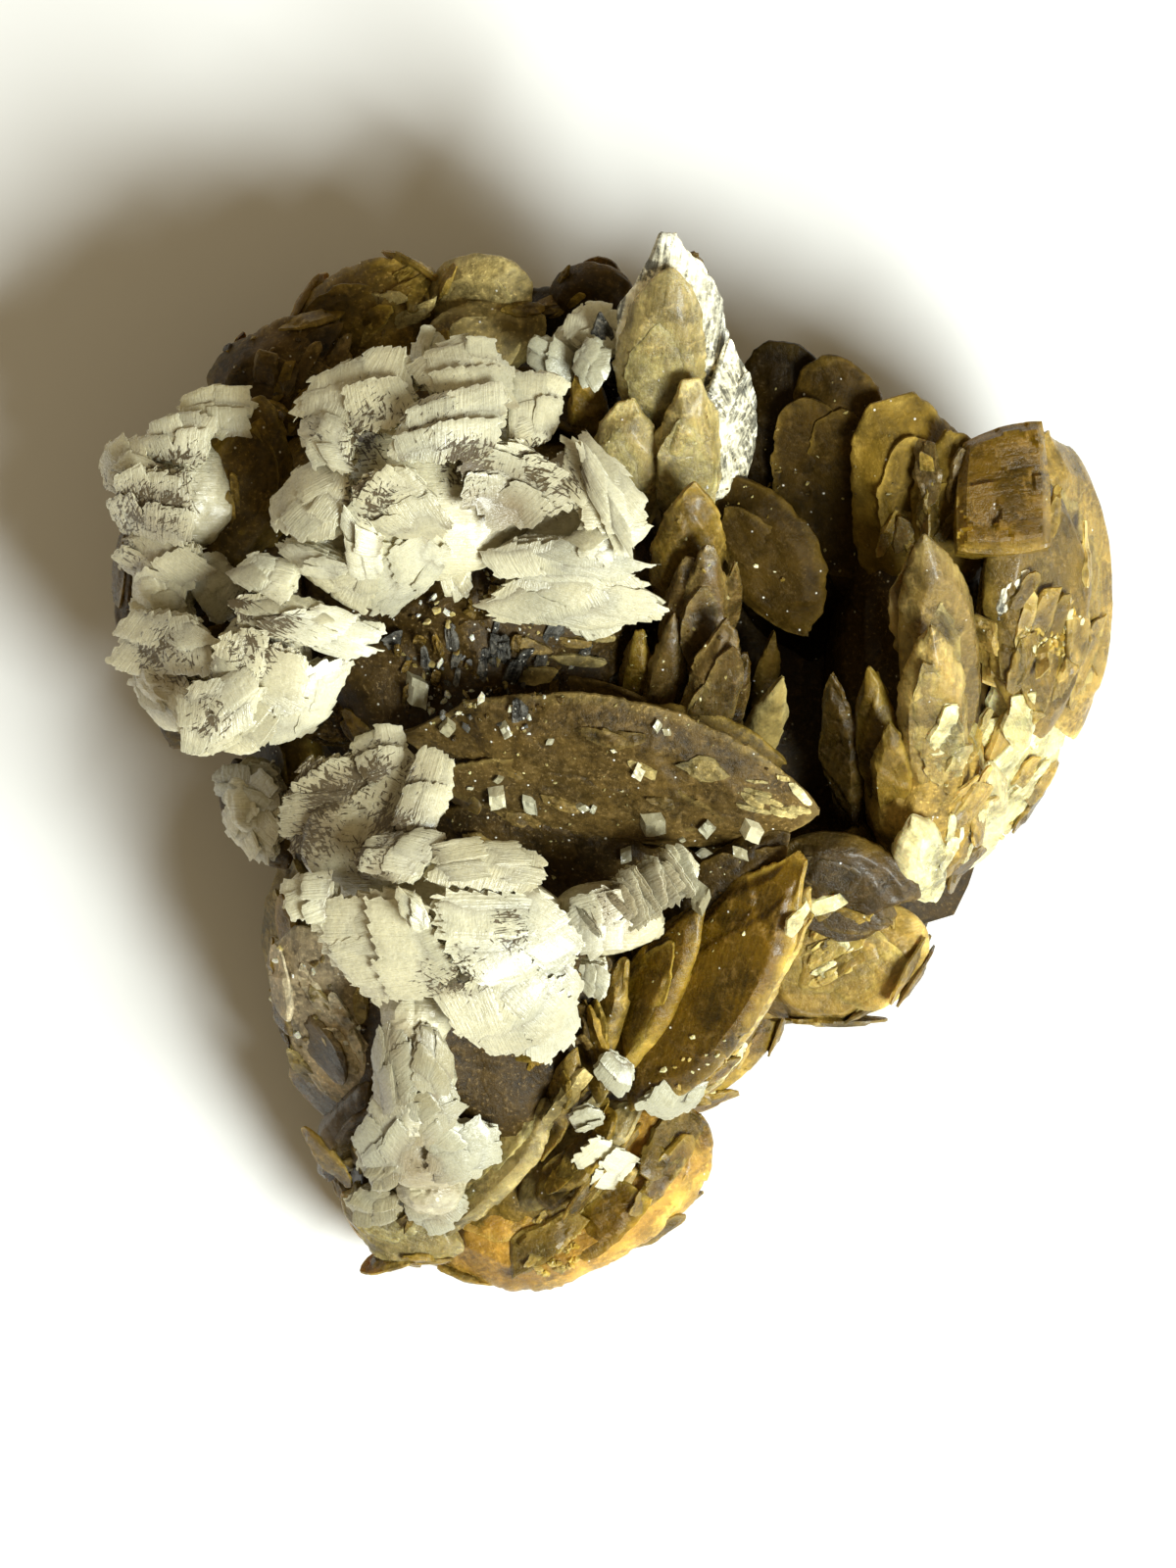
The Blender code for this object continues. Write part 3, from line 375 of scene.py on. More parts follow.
# %% Tints
COLOURS = {  # face and rim, linear red, green and blue
    "brown": ((0.096, 0.058, 0.0140), (0.200, 0.138, 0.040)),
    "dark": ((0.015, 0.0078, 0.0006), (0.038, 0.023, 0.003)),
    "umber": ((0.041, 0.0225, 0.0030), (0.112, 0.068, 0.011)),
    "tan": ((0.270, 0.205, 0.072), (0.44, 0.355, 0.145)),
    "honey": ((0.142, 0.086, 0.0105), (0.30, 0.200, 0.038)),
    "olive": ((0.092, 0.054, 0.0050), (0.24, 0.160, 0.024)),
    "gold": ((0.290, 0.185, 0.037), (0.54, 0.385, 0.11)),
    "amber": ((0.30, 0.172, 0.014), (0.54, 0.36, 0.065)),
    "foot": ((0.42, 0.222, 0.028), (0.66, 0.41, 0.078)),
    "glass": ((0.120, 0.062, 0.0010), (0.40, 0.262, 0.038)),
    "straw": ((0.285, 0.190, 0.050), (0.45, 0.340, 0.110)),
    "pale": ((0.66, 0.56, 0.260), (0.80, 0.71, 0.39)),
    # glare is a painted highlight: the colour of a face that catches the lamp
    "glare": ((0.66, 0.61, 0.44), (0.84, 0.82, 0.68)),
    "grey": ((0.210, 0.152, 0.047), (0.38, 0.300, 0.115)),
    "bronze": ((0.158, 0.102, 0.023), (0.32, 0.235, 0.078)),
    "ash": ((0.430, 0.340, 0.205), (0.56, 0.48, 0.31)),
    "steel": ((0.040, 0.037, 0.030), (0.10, 0.095, 0.080)),
}
print(len(COLOURS), "tints of siderite")

# %% [markdown]
# ## Finishes
#
# Siderite faces look frosted: they carry a fine grain, a thin grey bloom in patches, and here and there
# a tiny facet that catches the light. The colour comes from the tint stored at every point. Effects that
# several finishes share are a node group, so that each material only sets its amounts. Image textures
# could hold the grain too, but noise needs no files and has the same scale on every blade. First come
# short helpers that add shader nodes.


# %% Node helpers
def node(tree, kind, sockets=None, **settings):
    """Adds a shader node, sets its options, and sets or links its inputs."""
    made = tree.nodes.new("ShaderNode" + kind)
    for key, value in settings.items():
        setattr(made, key, value)
    for key, value in (sockets or {}).items():
        if isinstance(value, bpy.types.NodeSocket):
            tree.links.new(value, made.inputs[key])
        else:
            made.inputs[key].default_value = value
    return made


def maths(tree, operation, *values):
    """The result of a Math node."""
    return node(tree, "Math", dict(enumerate(values)), operation=operation).outputs[0]


def blend(tree, amount, low, high):
    """The result of a colour Mix node. Sockets 0, 6 and 7 are its factor and its two colours."""
    return node(tree, "Mix", {0: amount, 6: low, 7: high}, data_type="RGBA").outputs[2]


def ramp(tree, value, low, high):
    """0 below low and 1 above high."""
    made = node(tree, "MapRange", {"Value": value, "From Min": low, "From Max": high})
    made.interpolation_type = "SMOOTHSTEP"
    return made.outputs["Result"]


def centred(tree, value, amount):
    """(value - 0.5) times amount."""
    return maths(tree, "MULTIPLY", maths(tree, "SUBTRACT", value, 0.5), amount)


def vectors(tree, operation, first, second):
    """The result of a Vector Math node. SCALE takes its second value, a number, at socket 3."""
    sockets = {0: first, 3 if operation == "SCALE" else 1: second}
    return node(tree, "VectorMath", sockets, operation=operation).outputs[0]


def cloud(tree, place, scale, detail, rough):
    """Noise from 0 to 1 whose bumps are 1 / scale metres wide."""
    sockets = {"Vector": place, "Scale": scale, "Detail": detail, "Roughness": rough}
    return node(tree, "TexNoise", sockets).outputs["Fac"]


def new_group(name, amounts):
    """A node group that takes a place, a place on the crystal itself, a tint and some amounts, and gives
    a colour, a roughness and a height. Returned with its input and output sockets."""
    group = bpy.data.node_groups.new(name, "ShaderNodeTree")
    inputs = {"Vector": "Vector", "Surface": "Vector", "Tint": "Color", **dict.fromkeys(amounts, "Float")}
    for label, kind in inputs.items():
        group.interface.new_socket(label, in_out="INPUT", socket_type="NodeSocket" + kind)
    for label, kind in (("Color", "Color"), ("Roughness", "Float"), ("Height", "Float")):
        group.interface.new_socket(label, in_out="OUTPUT", socket_type="NodeSocket" + kind)
    return group, group.nodes.new("NodeGroupInput").outputs, group.nodes.new("NodeGroupOutput").inputs


# %% [markdown]
# The grain group darkens and lightens the tint in patches a centimetre wide, in sharper domains and in
# grains of half a millimetre. It draws fine streaks along the blade and pale wisps where cracks have
# healed, scatters pale flecks, and picks out one small cell in many as a facet that sparkles: a painted
# glint, whose white is mixed into the colour, with a lower roughness and a raised bump. The streaks
# follow the blade because they read its "surface" values. The height output carries the same grain.

# %% Grain, streaks, flecks and sparkle
AMOUNTS = ("Patches", "Grain", "Streaks", "Flecks", "Wisps", "Sparkle", "Roughness")
GRAIN, given, result = new_group("Crystal grain", AMOUNTS)
STREAK_STRETCH = (0.22, 2.6, 1.0)  # streaks are long along a blade and narrow across it
PALER, PALE_ADDED = 2.2, (0.10, 0.075, 0.04)  # how flecks and wisps lighten the tint
# The white of a sparkling facet is a painted glint.
PAINTED_GLINT_WHITE, DARKEST = (0.92, 0.88, 0.76, 1), 0.22

patches = cloud(GRAIN, given["Vector"], 120, 3, 0.6)
grains = cloud(GRAIN, given["Vector"], 1300, 5, 0.72)
streaks = cloud(GRAIN, vectors(GRAIN, "MULTIPLY", given["Surface"], STREAK_STRETCH), 1.0, 4, 0.6)
domains = ramp(GRAIN, cloud(GRAIN, given["Vector"], 300, 3, 0.6), 0.42, 0.58)
level = 1.0
for value, contrast, key in (
    (patches, 4.0, "Patches"), (grains, 5.0, "Grain"), (streaks, 4.0, "Streaks"), (domains, 0.9, "Patches")
):
    level = maths(GRAIN, "ADD", level, maths(GRAIN, "MULTIPLY", centred(GRAIN, value, contrast), given[key]))
shaded = vectors(GRAIN, "SCALE", given["Tint"], maths(GRAIN, "MAXIMUM", level, DARKEST))

# %% [markdown]
# Flecks and wisps are the same pale tint, let through by two masks. A sparkling facet is a cell of a
# Voronoi pattern whose random colour is one of the highest; only its middle shows, painted white as a
# glint of light.

# %% Pale flecks, wisps and facets
pale = vectors(GRAIN, "ADD", vectors(GRAIN, "SCALE", given["Tint"], PALER), PALE_ADDED)
speckle = ramp(GRAIN, cloud(GRAIN, given["Vector"], 2600, 3, 0.6), 0.60, 0.68)
flecks = maths(GRAIN, "MULTIPLY", speckle, ramp(GRAIN, patches, 0.36, 0.60))
flecked = blend(GRAIN, maths(GRAIN, "MULTIPLY", flecks, given["Flecks"]), shaded, pale)
cracks = maths(GRAIN, "ABSOLUTE", centred(GRAIN, cloud(GRAIN, given["Vector"], 240, 3, 0.6), 14.0))
wisps = maths(GRAIN, "MULTIPLY", ramp(GRAIN, cracks, 0.55, 0.05), ramp(GRAIN, grains, 0.42, 0.60))
flecked = blend(GRAIN, maths(GRAIN, "MULTIPLY", wisps, given["Wisps"]), flecked, pale)
cells = node(GRAIN, "TexVoronoi", {"Vector": given["Vector"], "Scale": 2400.0})
picked = node(GRAIN, "SeparateColor", {0: cells.outputs["Color"]}).outputs[0]
facet = maths(GRAIN, "GREATER_THAN", picked, maths(GRAIN, "SUBTRACT", 1.0, given["Sparkle"]))
facet = maths(GRAIN, "MULTIPLY", facet, ramp(GRAIN, cells.outputs["Distance"], 0.42, 0.12))
GRAIN.links.new(blend(GRAIN, facet, flecked, PAINTED_GLINT_WHITE), result["Color"])
dull = maths(GRAIN, "ADD", given["Roughness"], centred(GRAIN, grains, 0.5))
dull = maths(GRAIN, "ADD", dull, centred(GRAIN, patches, 0.3))
GRAIN.links.new(maths(GRAIN, "SUBTRACT", dull, maths(GRAIN, "MULTIPLY", facet, 0.2)), result["Roughness"])
relief = maths(GRAIN, "ADD", grains, maths(GRAIN, "MULTIPLY", streaks, given["Streaks"]))
GRAIN.links.new(maths(GRAIN, "ADD", relief, maths(GRAIN, "MULTIPLY", facet, 0.5)), result["Height"])
print("group", GRAIN.name, len(GRAIN.nodes), "nodes")

# %% [markdown]
# Each siderite finish gives this group its own amounts. Under it, some light spreads inside the crystal,
# the red the furthest; over it lies a thin glassy coat. Real refraction would be truer for the honey
# blades, but it needs many more samples to come out clean.

# %% Siderite finishes
SIDERITE_GLOW = (1.0, 0.6, 0.15), 1.4 * MM  # how far red, green and blue spread inside, and the scale


def skinned(name, group, stored, amounts, bump_height):
    """A material whose colour, roughness and bump come from a node group. `stored` names the group's
    inputs that read a value stored at the points, and `amounts` the inputs that are plain numbers."""
    finish = bpy.data.materials.new(name)
    finish.use_nodes = True
    tree = finish.node_tree
    shader = tree.nodes["Principled BSDF"]
    skin = node(tree, "Group", node_tree=group)
    tree.links.new(node(tree, "TexCoord").outputs["Object"], skin.inputs["Vector"])
    for label, output in stored.items():
        attribute = node(tree, "Attribute", attribute_name=label.lower())
        tree.links.new(attribute.outputs[output], skin.inputs[label])
    for key, value in amounts.items():
        skin.inputs[key].default_value = value
    tree.links.new(skin.outputs["Color"], shader.inputs["Base Color"])
    tree.links.new(skin.outputs["Roughness"], shader.inputs["Roughness"])
    bump = node(tree, "Bump", {"Height": skin.outputs["Height"], "Distance": bump_height, "Strength": 0.7})
    tree.links.new(bump.outputs["Normal"], shader.inputs["Normal"])
    print("finish", name)
    return finish, shader


def set_light(shader, values, subsurface, glow):
    """Sets the shader's plain values, and how much light spreads inside and how far."""
    spread = {"Subsurface Weight": subsurface, "Subsurface Radius": glow[0], "Subsurface Scale": glow[1]}
    for key, value in {**values, **spread}.items():
        shader.inputs[key].default_value = value


def siderite_finish(name, amounts, subsurface, relief=0.0003, shine=0.22, gloss=0.0):
    """A siderite material: the grain group with its own amounts, over light that spreads inside, and
    under a glassy coat. `relief` is the height of the bumps in metres."""
    stored = {"Surface": "Vector", "Tint": "Color"}
    finish, shader = skinned(name, GRAIN, stored, dict(zip(AMOUNTS, amounts)), relief)
    values = {"Specular IOR Level": shine, "Coat Weight": gloss, "Coat Roughness": 0.12}
    set_light(shader, values, subsurface, SIDERITE_GLOW)
    return finish


FROSTED = siderite_finish("siderite_frosted", (0.38, 0.46, 0.18, 0.9, 0.25, 0.014, 0.4), 0.06)
HONEY = siderite_finish(
    "siderite_honey", (0.46, 0.20, 0.30, 0.25, 0.35, 0.004, 0.30), 0.30, shine=0.40, gloss=0.12
)
SMOKY = siderite_finish("siderite_smoky", (0.40, 0.26, 0.16, 0.22, 0.10, 0.010, 0.4), 0.10, shine=0.08)
STEEL = siderite_finish("siderite_steel", (0.6, 0.9, 0.9, 0.8, 0.6, 0.06, 0.22), 0.0, relief=0.0006)
BRIGHT = siderite_finish("siderite_bright", (0.8, 0.5, 1.0, 1.0, 0.8, 0.05, 0.25), 0.0, relief=0.0006)

# %% [markdown]
# Dolomite is cream-white and silky, with fine ribs along each plate. Dark grains sit in the hollows where
# its plates fan out, and a brownish stain follows some of the hollows. Where this happens is stored at
# each point as the values "specks" and "stain".

# %% Ground colour of dolomite
SPECKS, given, result = new_group("Dolomite specks", ("Specks", "Stain", "Roughness"))
CLEAR_GREY, STAIN_BROWN = (0.40, 0.39, 0.285, 1), (0.25, 0.185, 0.100, 1)

broad = cloud(SPECKS, given["Vector"], 260, 3, 0.6)
fine = cloud(SPECKS, given["Vector"], 1500, 4, 0.65)
level = maths(SPECKS, "ADD", 1.0, centred(SPECKS, broad, 0.35))
level = maths(SPECKS, "ADD", level, centred(SPECKS, fine, 0.45))
shaded = vectors(SPECKS, "SCALE", given["Tint"], level)
clear = ramp(SPECKS, cloud(SPECKS, given["Vector"], 150, 3, 0.6), 0.46, 0.64)
shaded = blend(SPECKS, maths(SPECKS, "MULTIPLY", clear, 0.42), shaded, CLEAR_GREY)
soaked = maths(SPECKS, "MULTIPLY", given["Stain"], ramp(SPECKS, broad, 0.24, 0.50))
stained = blend(SPECKS, soaked, shaded, STAIN_BROWN)

# %% [markdown]
# The dark grains are noise drawn out into strokes, in two directions. The more "specks" a point carries,
# the lower the noise may be that still shows there.

# %% Dark grains and silk
SPECK_BROWN = (0.105, 0.072, 0.028, 1)
STROKE_STRETCH, SILK_STRETCH = (1.0, 3.6, 1.0), (0.35, 5.0, 1.0)


def strokes(tree, surface, turn, shift):
    """Noise drawn out into short strokes that run at the given turn, in radians, on the surface."""
    turned = node(tree, "VectorRotate", {"Vector": surface, "Angle": turn}, rotation_type="Z_AXIS").outputs[0]
    moved = vectors(tree, "ADD", vectors(tree, "MULTIPLY", turned, STROKE_STRETCH), (shift, shift, 0))
    return cloud(tree, moved, 1.0, 3, 0.55)


first, second = strokes(SPECKS, given["Surface"], 0.0, 0.0), strokes(SPECKS, given["Surface"], 1.0, 9.0)
hatch = maths(SPECKS, "MAXIMUM", first, second)
reach = maths(SPECKS, "SUBTRACT", 0.77, maths(SPECKS, "MULTIPLY", given["Specks"], 0.33))
dark = ramp(SPECKS, maths(SPECKS, "SUBTRACT", hatch, reach), 0.0, 0.05)
dark = maths(SPECKS, "MULTIPLY", dark, ramp(SPECKS, given["Specks"], 0.05, 0.4))
SPECKS.links.new(blend(SPECKS, dark, stained, SPECK_BROWN), result["Color"])
dull = maths(SPECKS, "ADD", given["Roughness"], centred(SPECKS, fine, 0.3))
SPECKS.links.new(maths(SPECKS, "ADD", dull, maths(SPECKS, "MULTIPLY", dark, 0.3)), result["Roughness"])
silk = cloud(SPECKS, vectors(SPECKS, "MULTIPLY", given["Surface"], SILK_STRETCH), 1.0, 4, 0.6)
relief = maths(SPECKS, "ADD", maths(SPECKS, "MULTIPLY", fine, 0.6), maths(SPECKS, "MULTIPLY", silk, 0.7))
SPECKS.links.new(maths(SPECKS, "SUBTRACT", relief, maths(SPECKS, "MULTIPLY", dark, 1.2)), result["Height"])
print("group", SPECKS.name, len(SPECKS.nodes), "nodes")

# %% [markdown]
# All the dolomite has one finish: a white that light sinks into a little, under a faint pearly coat.

# %% Dolomite finish
DOLOMITE_GLOW = (1.0, 0.9, 0.6), 0.6 * MM
stored = {"Surface": "Vector", "Tint": "Color", "Specks": "Fac", "Stain": "Fac"}
PEARLY, shader = skinned("dolomite_pearly", SPECKS, stored, {"Roughness": 0.28}, 0.0003)
set_light(shader, {"IOR": 1.68, "Coat Weight": 0.20, "Coat Roughness": 0.15}, 0.20, DOLOMITE_GLOW)

# %% [markdown]
# ## Where the blades stand
#
# In the tables that follow, each row is one blade: its hidden end, its free tip, its full width and
# thickness, its roll, and the name of its tint. The ends and sizes are those of the frame's solids, so
# the dressed specimen stands where the plain one does. A large blade also gets two thinner ones that lie
# on or under it, as if it had split. Copies of one blade would be quicker, but no two crystals are alike.

# %% Build a group of blades
ROUND_BLADES = {"disc_front", "disc_right", "disc_side", "far_tan", "far_gold", "far_round", "far_dark",
                "glitter_block", "glitter_rim", "wall_far", "wall_mid", "wall_near", "flank"}
POINTED, ROUNDED = 1.45, 1.0  # outline exponents: 1 is an ellipse, 2 two arcs that meet in points
SPLIT_FROM, SPLIT_THICK = 5, 0.9  # mm: blades wider than the first carry split ones as thick as the second
SPLIT_SINK = 0.30  # mm, how far a split one's middle lies inside the face


def partial_layer(row, seed):
    """A thinner blade that lies on or under the blade of a row, moved and turned a little."""
    tail, tip, width, thick, roll, colour = row
    tail, tip = np.array(tail, float), np.array(tip, float)
    _, length, along, across, out = blade_axes(tail, tip, roll)
    share = 0.60 + 0.16 * dice(seed, 1)
    side = 1 if dice(seed, 2) > -0.3 else -1
    middle = (tail + tip) / 2 + along * length * 0.13 * dice(seed, 3) + across * width * 0.13 * dice(seed, 4)
    middle = middle + out * side * (thick / 2 - SPLIT_SINK)
    turned = along + across * 0.10 * dice(seed, 5) + out * 0.03 * dice(seed, 6)
    half = turned * length * share / 2
    return middle - half, middle + half, width * (0.62 + 0.16 * dice(seed, 7)), SPLIT_THICK, roll, colour


def blade_bodies(rows, first_seed, power=None, layers=2, **extra):
    """The bodies of a table of blades, each with its own seed, the tints that its row names, and partial
    layers where the blade is large. What is in `extra` goes on to blade()."""
    bodies = []
    for count, (name, row) in enumerate(rows.items()):
        own_power = power or (ROUNDED if name in ROUND_BLADES else POINTED)
        seed = first_seed + 37 * count
        split = layers if row[2] > SPLIT_FROM else 0
        parts = [row] + [partial_layer(row, seed + 5 * k) for k in range(split)]
        for k, (*shape, colour) in enumerate(parts):
            bodies.append(blade(*shape, *COLOURS[colour], own_power, seed + k, **extra))
    return bodies


# %% [markdown]
# The first group is the upright rosette: pale tan petals, each leaning back over the one behind it. The
# lower petals take browner tints, which are painted shade.

# %% Upright rosette
ROSETTE_BLADES = {
    "spire_face": ((4.6, 32, 31), (6.6, 50.4, 43.2), 10.4, 3.4, -2, "tan"),
    "spire_back": ((2, 35, 16), (9.4, 52.6, 35), 11, 4, 24, "umber"),
    "petal_high": ((8, 23, 27), (8.7, 39.9, 41), 8, 4, 10, "tan"),
    "thorn_gold": ((-1.4, 31, 24), (-2.2, 41, 36), 5, 3, -14, "honey"),
    "petal_left": ((1.8, 22, 28), (2.4, 38, 38), 8.6, 3.6, -4, "tan"),
    # From here down, the browner tints of the petals are painted shade.
    "petal_mid": ((7.6, 13, 27), (9, 28.8, 41), 8.2, 4, 6, "honey"),
    "petal_low_left": ((7, 7, 27), (8.6, 21.9, 40), 5.2, 3.2, -12, "brown"),
    "petal_low_right": ((9.4, 5, 27), (10.5, 23, 42), 5.6, 3.4, 16, "brown"),
    "petal_foot": ((8.6, -1.5, 26), (12.5, 15.2, 42), 6.4, 3.4, 8, "brown"),
    "picket_1": ((3, 2, 23), (3.6, 14.4, 34), 4.2, 2.6, -10, "olive"),
    "picket_2": ((5, 0, 24), (7, 15.6, 37), 4.4, 2.6, -6, "brown"),
    "picket_3": ((11, -1.5, 20), (14.3, 11.8, 36), 4, 2.4, 20, "umber"),
    "picket_4": ((11.6, 11, 21), (13.2, 20.8, 37), 3.4, 2.2, 34, "brown"),
}
siderite_piece("rosette_blades", blade_bodies(ROSETTE_BLADES, 100), HONEY)

# %% [markdown]
# Two faces at the top of the rosette, and a small flake on the right, are turned so that they catch the
# light. Their pale "glare" tint is a painted highlight; they look white in patches.

# %% Bright faces
BRIGHT_BLADES = {
    "spire": ((7.4, 29, 26), (6.2, 54.4, 43), 12.6, 5.4, 6, "glare"),
    "spire_side": ((12, 25, 25), (12.6, 43.4, 38), 8.6, 3.6, 48, "glare"),
    "glint_right": ((40.2, 15, 32), (43.4, 20.2, 33.5), 3.4, 1, 24, "glare"),
}
siderite_piece("bright_blades", blade_bodies(BRIGHT_BLADES, 900, relief=1.6), BRIGHT)

# %% [markdown]
# The big frosted blade across the middle, with the blades stacked behind and under it.

# %% Middle blades
MIDDLE_BLADES = {
    "middle": ((-21.6, 3.2, 33), (21.8, -4.6, 36), 21.5, 4.6, 43, "brown"),
    "middle_under": ((-20, -6, 27), (13, -13.2, 27), 15, 4, 36, "umber"),
    "middle_shelf": ((6, -16.2, 27), (18.8, -6.8, 34), 7.6, 3.2, 14, "umber"),
    "rim_behind": ((-3.6, 4.4, 30), (18.8, 0, 31), 12, 3.2, 46, "honey"),
    "rim_far": ((-23, 6.2, 28), (6.6, 5, 29), 12, 3.2, 44, "brown"),
}
siderite_piece("middle_blades", blade_bodies(MIDDLE_BLADES, 1100), FROSTED)

# %% [markdown]
# Behind the middle lies a blade that shows its side, deeply striped and glittering like steel; part of
# its glitter is painted glints.

# %% Striped blades
STRIPED_BLADES = {
    "striped": ((-24, 12.4, 29), (2.4, 9.4, 28), 12, 5.6, 26, "steel"),
    "striped_foot": ((-31, 3.2, 22), (-19, 7.4, 27), 8, 3.4, 30, "umber"),
    "thorn_dark": ((0.6, 34.5, 24), (-0.6, 46.2, 37), 4.2, 2.8, 0, "steel"),
}
siderite_piece("striped_blades", blade_bodies(STRIPED_BLADES, 2100, relief=2.2), STEEL)

# %% [markdown]
# A deep cleft parts the rosette from the right side. Its far wall is a row of broad dark blades.

# %% Cleft and its wall
CLEFT_BLADES = {
    "cleft_leaf": ((12.2, 30, 30), (21.4, 13.4, 25), 11.6, 3.6, 24, "umber"),
    "cleft_shard": ((13.2, -4.4, 10), (18.4, 9.4, 28), 5, 2.6, 26, "grey"),
    "cleft_sliver": ((15.4, 1, 9), (17.4, 14, 25), 3.4, 2, 30, "umber"),
    "wall_far": ((21, 11, 12), (18, 44, 29), 16, 5.6, -12, "dark"),
    "wall_mid": ((28.4, 14, 14), (22.6, 42.2, 31), 15.5, 5.8, -14, "umber"),
    "wall_near": ((34.4, 15, 18), (29.4, 38.8, 33), 14.5, 6, 12, "honey"),
    "wall_step": ((36.4, 17, 22), (35, 34.8, 34), 10, 4.6, 18, "honey"),
}
siderite_piece("cleft_blades", blade_bodies(CLEFT_BLADES, 3100, step=0.40), SMOKY)

# %% [markdown]
# The right side is a shell of golden blades that light comes through.

# %% Golden shell
SHELL_BLADES = {
    "shell_rim": ((45.2, 35.4, 29), (49, 3, 15), 16.5, 5, -52, "gold"),
    "shell_face": ((43.4, 31, 33), (45.2, 3, 22), 15, 5.4, -38, "honey"),
    "shell_low": ((44.6, 12.4, 24), (40.8, -7.4, 9), 13, 5.2, -44, "pale"),
    "shell_foot": ((39.2, 0.6, 25), (34.8, -10.8, 9), 10.4, 5, -40, "pale"),
    "lens_tall": ((36, 0, 21), (32.2, 23.4, 43), 9.4, 5.2, 16, "bronze"),
    "lens_front": ((34.4, -4.8, 23), (32.7, 14.4, 42), 8, 4.6, 4, "straw"),
    "lens_foot": ((33.4, -14, 18), (31.4, -5, 31), 6.6, 3.2, 22, "pale"),
    "dagger_1": ((29.8, -7, 20), (26.9, 10.2, 34), 6, 3, -36, "olive"),
    "dagger_2": ((30.8, -8, 19), (28.8, 4.6, 35), 5, 2.8, -10, "honey"),
    "dagger_3": ((25.8, -8, 15), (23.4, 9.8, 31), 5.6, 3, -42, "umber"),
}
siderite_piece("shell_blades", blade_bodies(SHELL_BLADES, 4100, relief=0.7, flat_share=0.74), HONEY)

# %% [markdown]
# Dark lenses and a bright broken block close the cleft from below.

# %% Lower right
LOWER_BLADES = {
    "dark_lens": ((17.6, -8.6, 26), (32.6, -13.4, 24), 10, 4, 34, "umber"),
    "dark_lens_low": ((18.6, -14, 23), (30.2, -15.4, 22), 8, 3.4, 30, "umber"),
    "glitter_block": ((16.6, -23, 15), (33.4, -17, 20), 13, 6, 12, "gold"),
    "glitter_rim": ((15.8, -23.6, 11), (32.6, -17.8, 14), 10, 4, 0, "gold"),
}
siderite_piece("lower_blades", blade_bodies(LOWER_BLADES, 5100, relief=0.7, flat_share=0.76), HONEY)

# %% [markdown]
# Thin leaves stand side by side below the middle, the largest of them olive and amber.

# %% Amber blades
AMBER_BLADES = {
    "amber": ((2.6, -35.6, 22), (20.3, -8.5, 37), 12.4, 3.6, -22, "glass"),
    "amber_rim": ((5.4, -34.6, 15), (21, -12.4, 31), 9.6, 3.4, -34, "gold"),
    "leaf_wide": ((-2, -34.6, 21), (10, -13.4, 34), 8, 3, -34, "glass"),
    "leaf_slim": ((-3.2, -35, 22), (2.3, -19.2, 32), 5, 2.4, -46, "honey"),
    "leaf_thin": ((-6.6, -41, 19), (-2.8, -28.8, 29), 4.2, 2.2, -44, "honey"),
    "leaf_dark": ((-13, -38, 18), (-2.4, -26.8, 25), 8, 3, -20, "umber"),
}
siderite_piece("amber_blades", blade_bodies(AMBER_BLADES, 6100, relief=0.6, flat_share=0.78), HONEY)

# %% [markdown]
# Long grey blades lie over golden discs at the foot, beside a toothed corner.

# %% Foot
FOOT_BLADES = {
    "grey_long": ((-20.4, -50.2, 12), (-3.8, -33.2, 25), 7.6, 3.2, -22, "grey"),
    "grey_second": ((-9.6, -46.4, 12), (4, -34.4, 21), 7, 3, -24, "grey"),
    "disc_front": ((-17.6, -51.4, 7), (9.6, -36.2, 12), 20, 8, -8, "foot"),
    "disc_right": ((-1.4, -49.4, 7), (10.2, -36.6, 11), 11.6, 6.5, -14, "foot"),
    "disc_side": ((4.6, -35.6, 7), (18.8, -23.6, 9), 9, 5, -24, "glass"),
    "corner_outer": ((-29.4, -41.2, 8), (-11, -51.6, 6), 11, 4, 14, "honey"),
    "corner_inner": ((-27.6, -44.6, 14), (-14.8, -50.6, 13), 10, 3.6, 20, "tan"),
    "corner_side": ((-29.6, -43.4, 9), (-24.2, -32.6, 23), 6.4, 3.4, 42, "umber"),
    "corner_core": ((-24, -47, 8), (-17, -30, 20), 13, 7, 16, "umber"),
}
siderite_piece("foot_blades", blade_bodies(FOOT_BLADES, 7100, relief=0.7, flat_share=0.76), HONEY)

# %% [markdown]
# Rounder blades stand along the left edge and the far side.

# %% Left edge and far side
EDGE_BLADES = {
    "flank": ((-31.4, -16.4, 28), (-25.2, -36.8, 14), 14, 4.6, 36, "ash"),
    "flank_back": ((-32.6, -9, 18), (-32.4, -27.4, 11), 10, 4.4, 58, "grey"),
    "flank_high": ((-38.6, 0.8, 18), (-33, -10.6, 20), 9, 4.4, 40, "umber"),
    "left_gold": ((-41.2, 18, 26), (-35.2, 38, 31), 13, 4.6, 4, "olive"),
    "left_under": ((-46.2, 8, 20), (-44, 30, 24), 13, 5.2, -10, "umber"),
    "left_foot": ((-45, 2, 22), (-36, 16.4, 26), 12, 5.2, 18, "umber"),
    "far_dark": ((-41, 35.6, 19), (-26.8, 44.2, 24), 12.6, 5.4, 10, "brown"),
    "far_tan": ((-31.8, 41.4, 17), (-16.4, 50, 23), 14.4, 5.2, 14, "honey"),
    "far_gold": ((-19.4, 46.4, 20), (-7.8, 50.6, 27), 9.6, 4, 20, "tan"),
    "far_grey": ((-20, 42.4, 25), (-5.6, 45.8, 25), 9, 4, 20, "grey"),
    "far_round": ((-5.4, 47.2, 21), (2.6, 49.8, 26), 8.4, 4.2, 24, "umber"),
    "far_gap": ((-11, 44.2, 18), (0.4, 46, 22), 11, 4.6, 20, "dark"),
}
siderite_piece("edge_blades", blade_bodies(EDGE_BLADES, 8100), FROSTED)

# %% [markdown]
# ## What lies between the blades
#
# The blades grow out of solid siderite, which shows in the gaps. Rough lumps stand for it. Flat-sided
# broken blocks sit in the right side, and rows of overlapping blades close the sides all round.

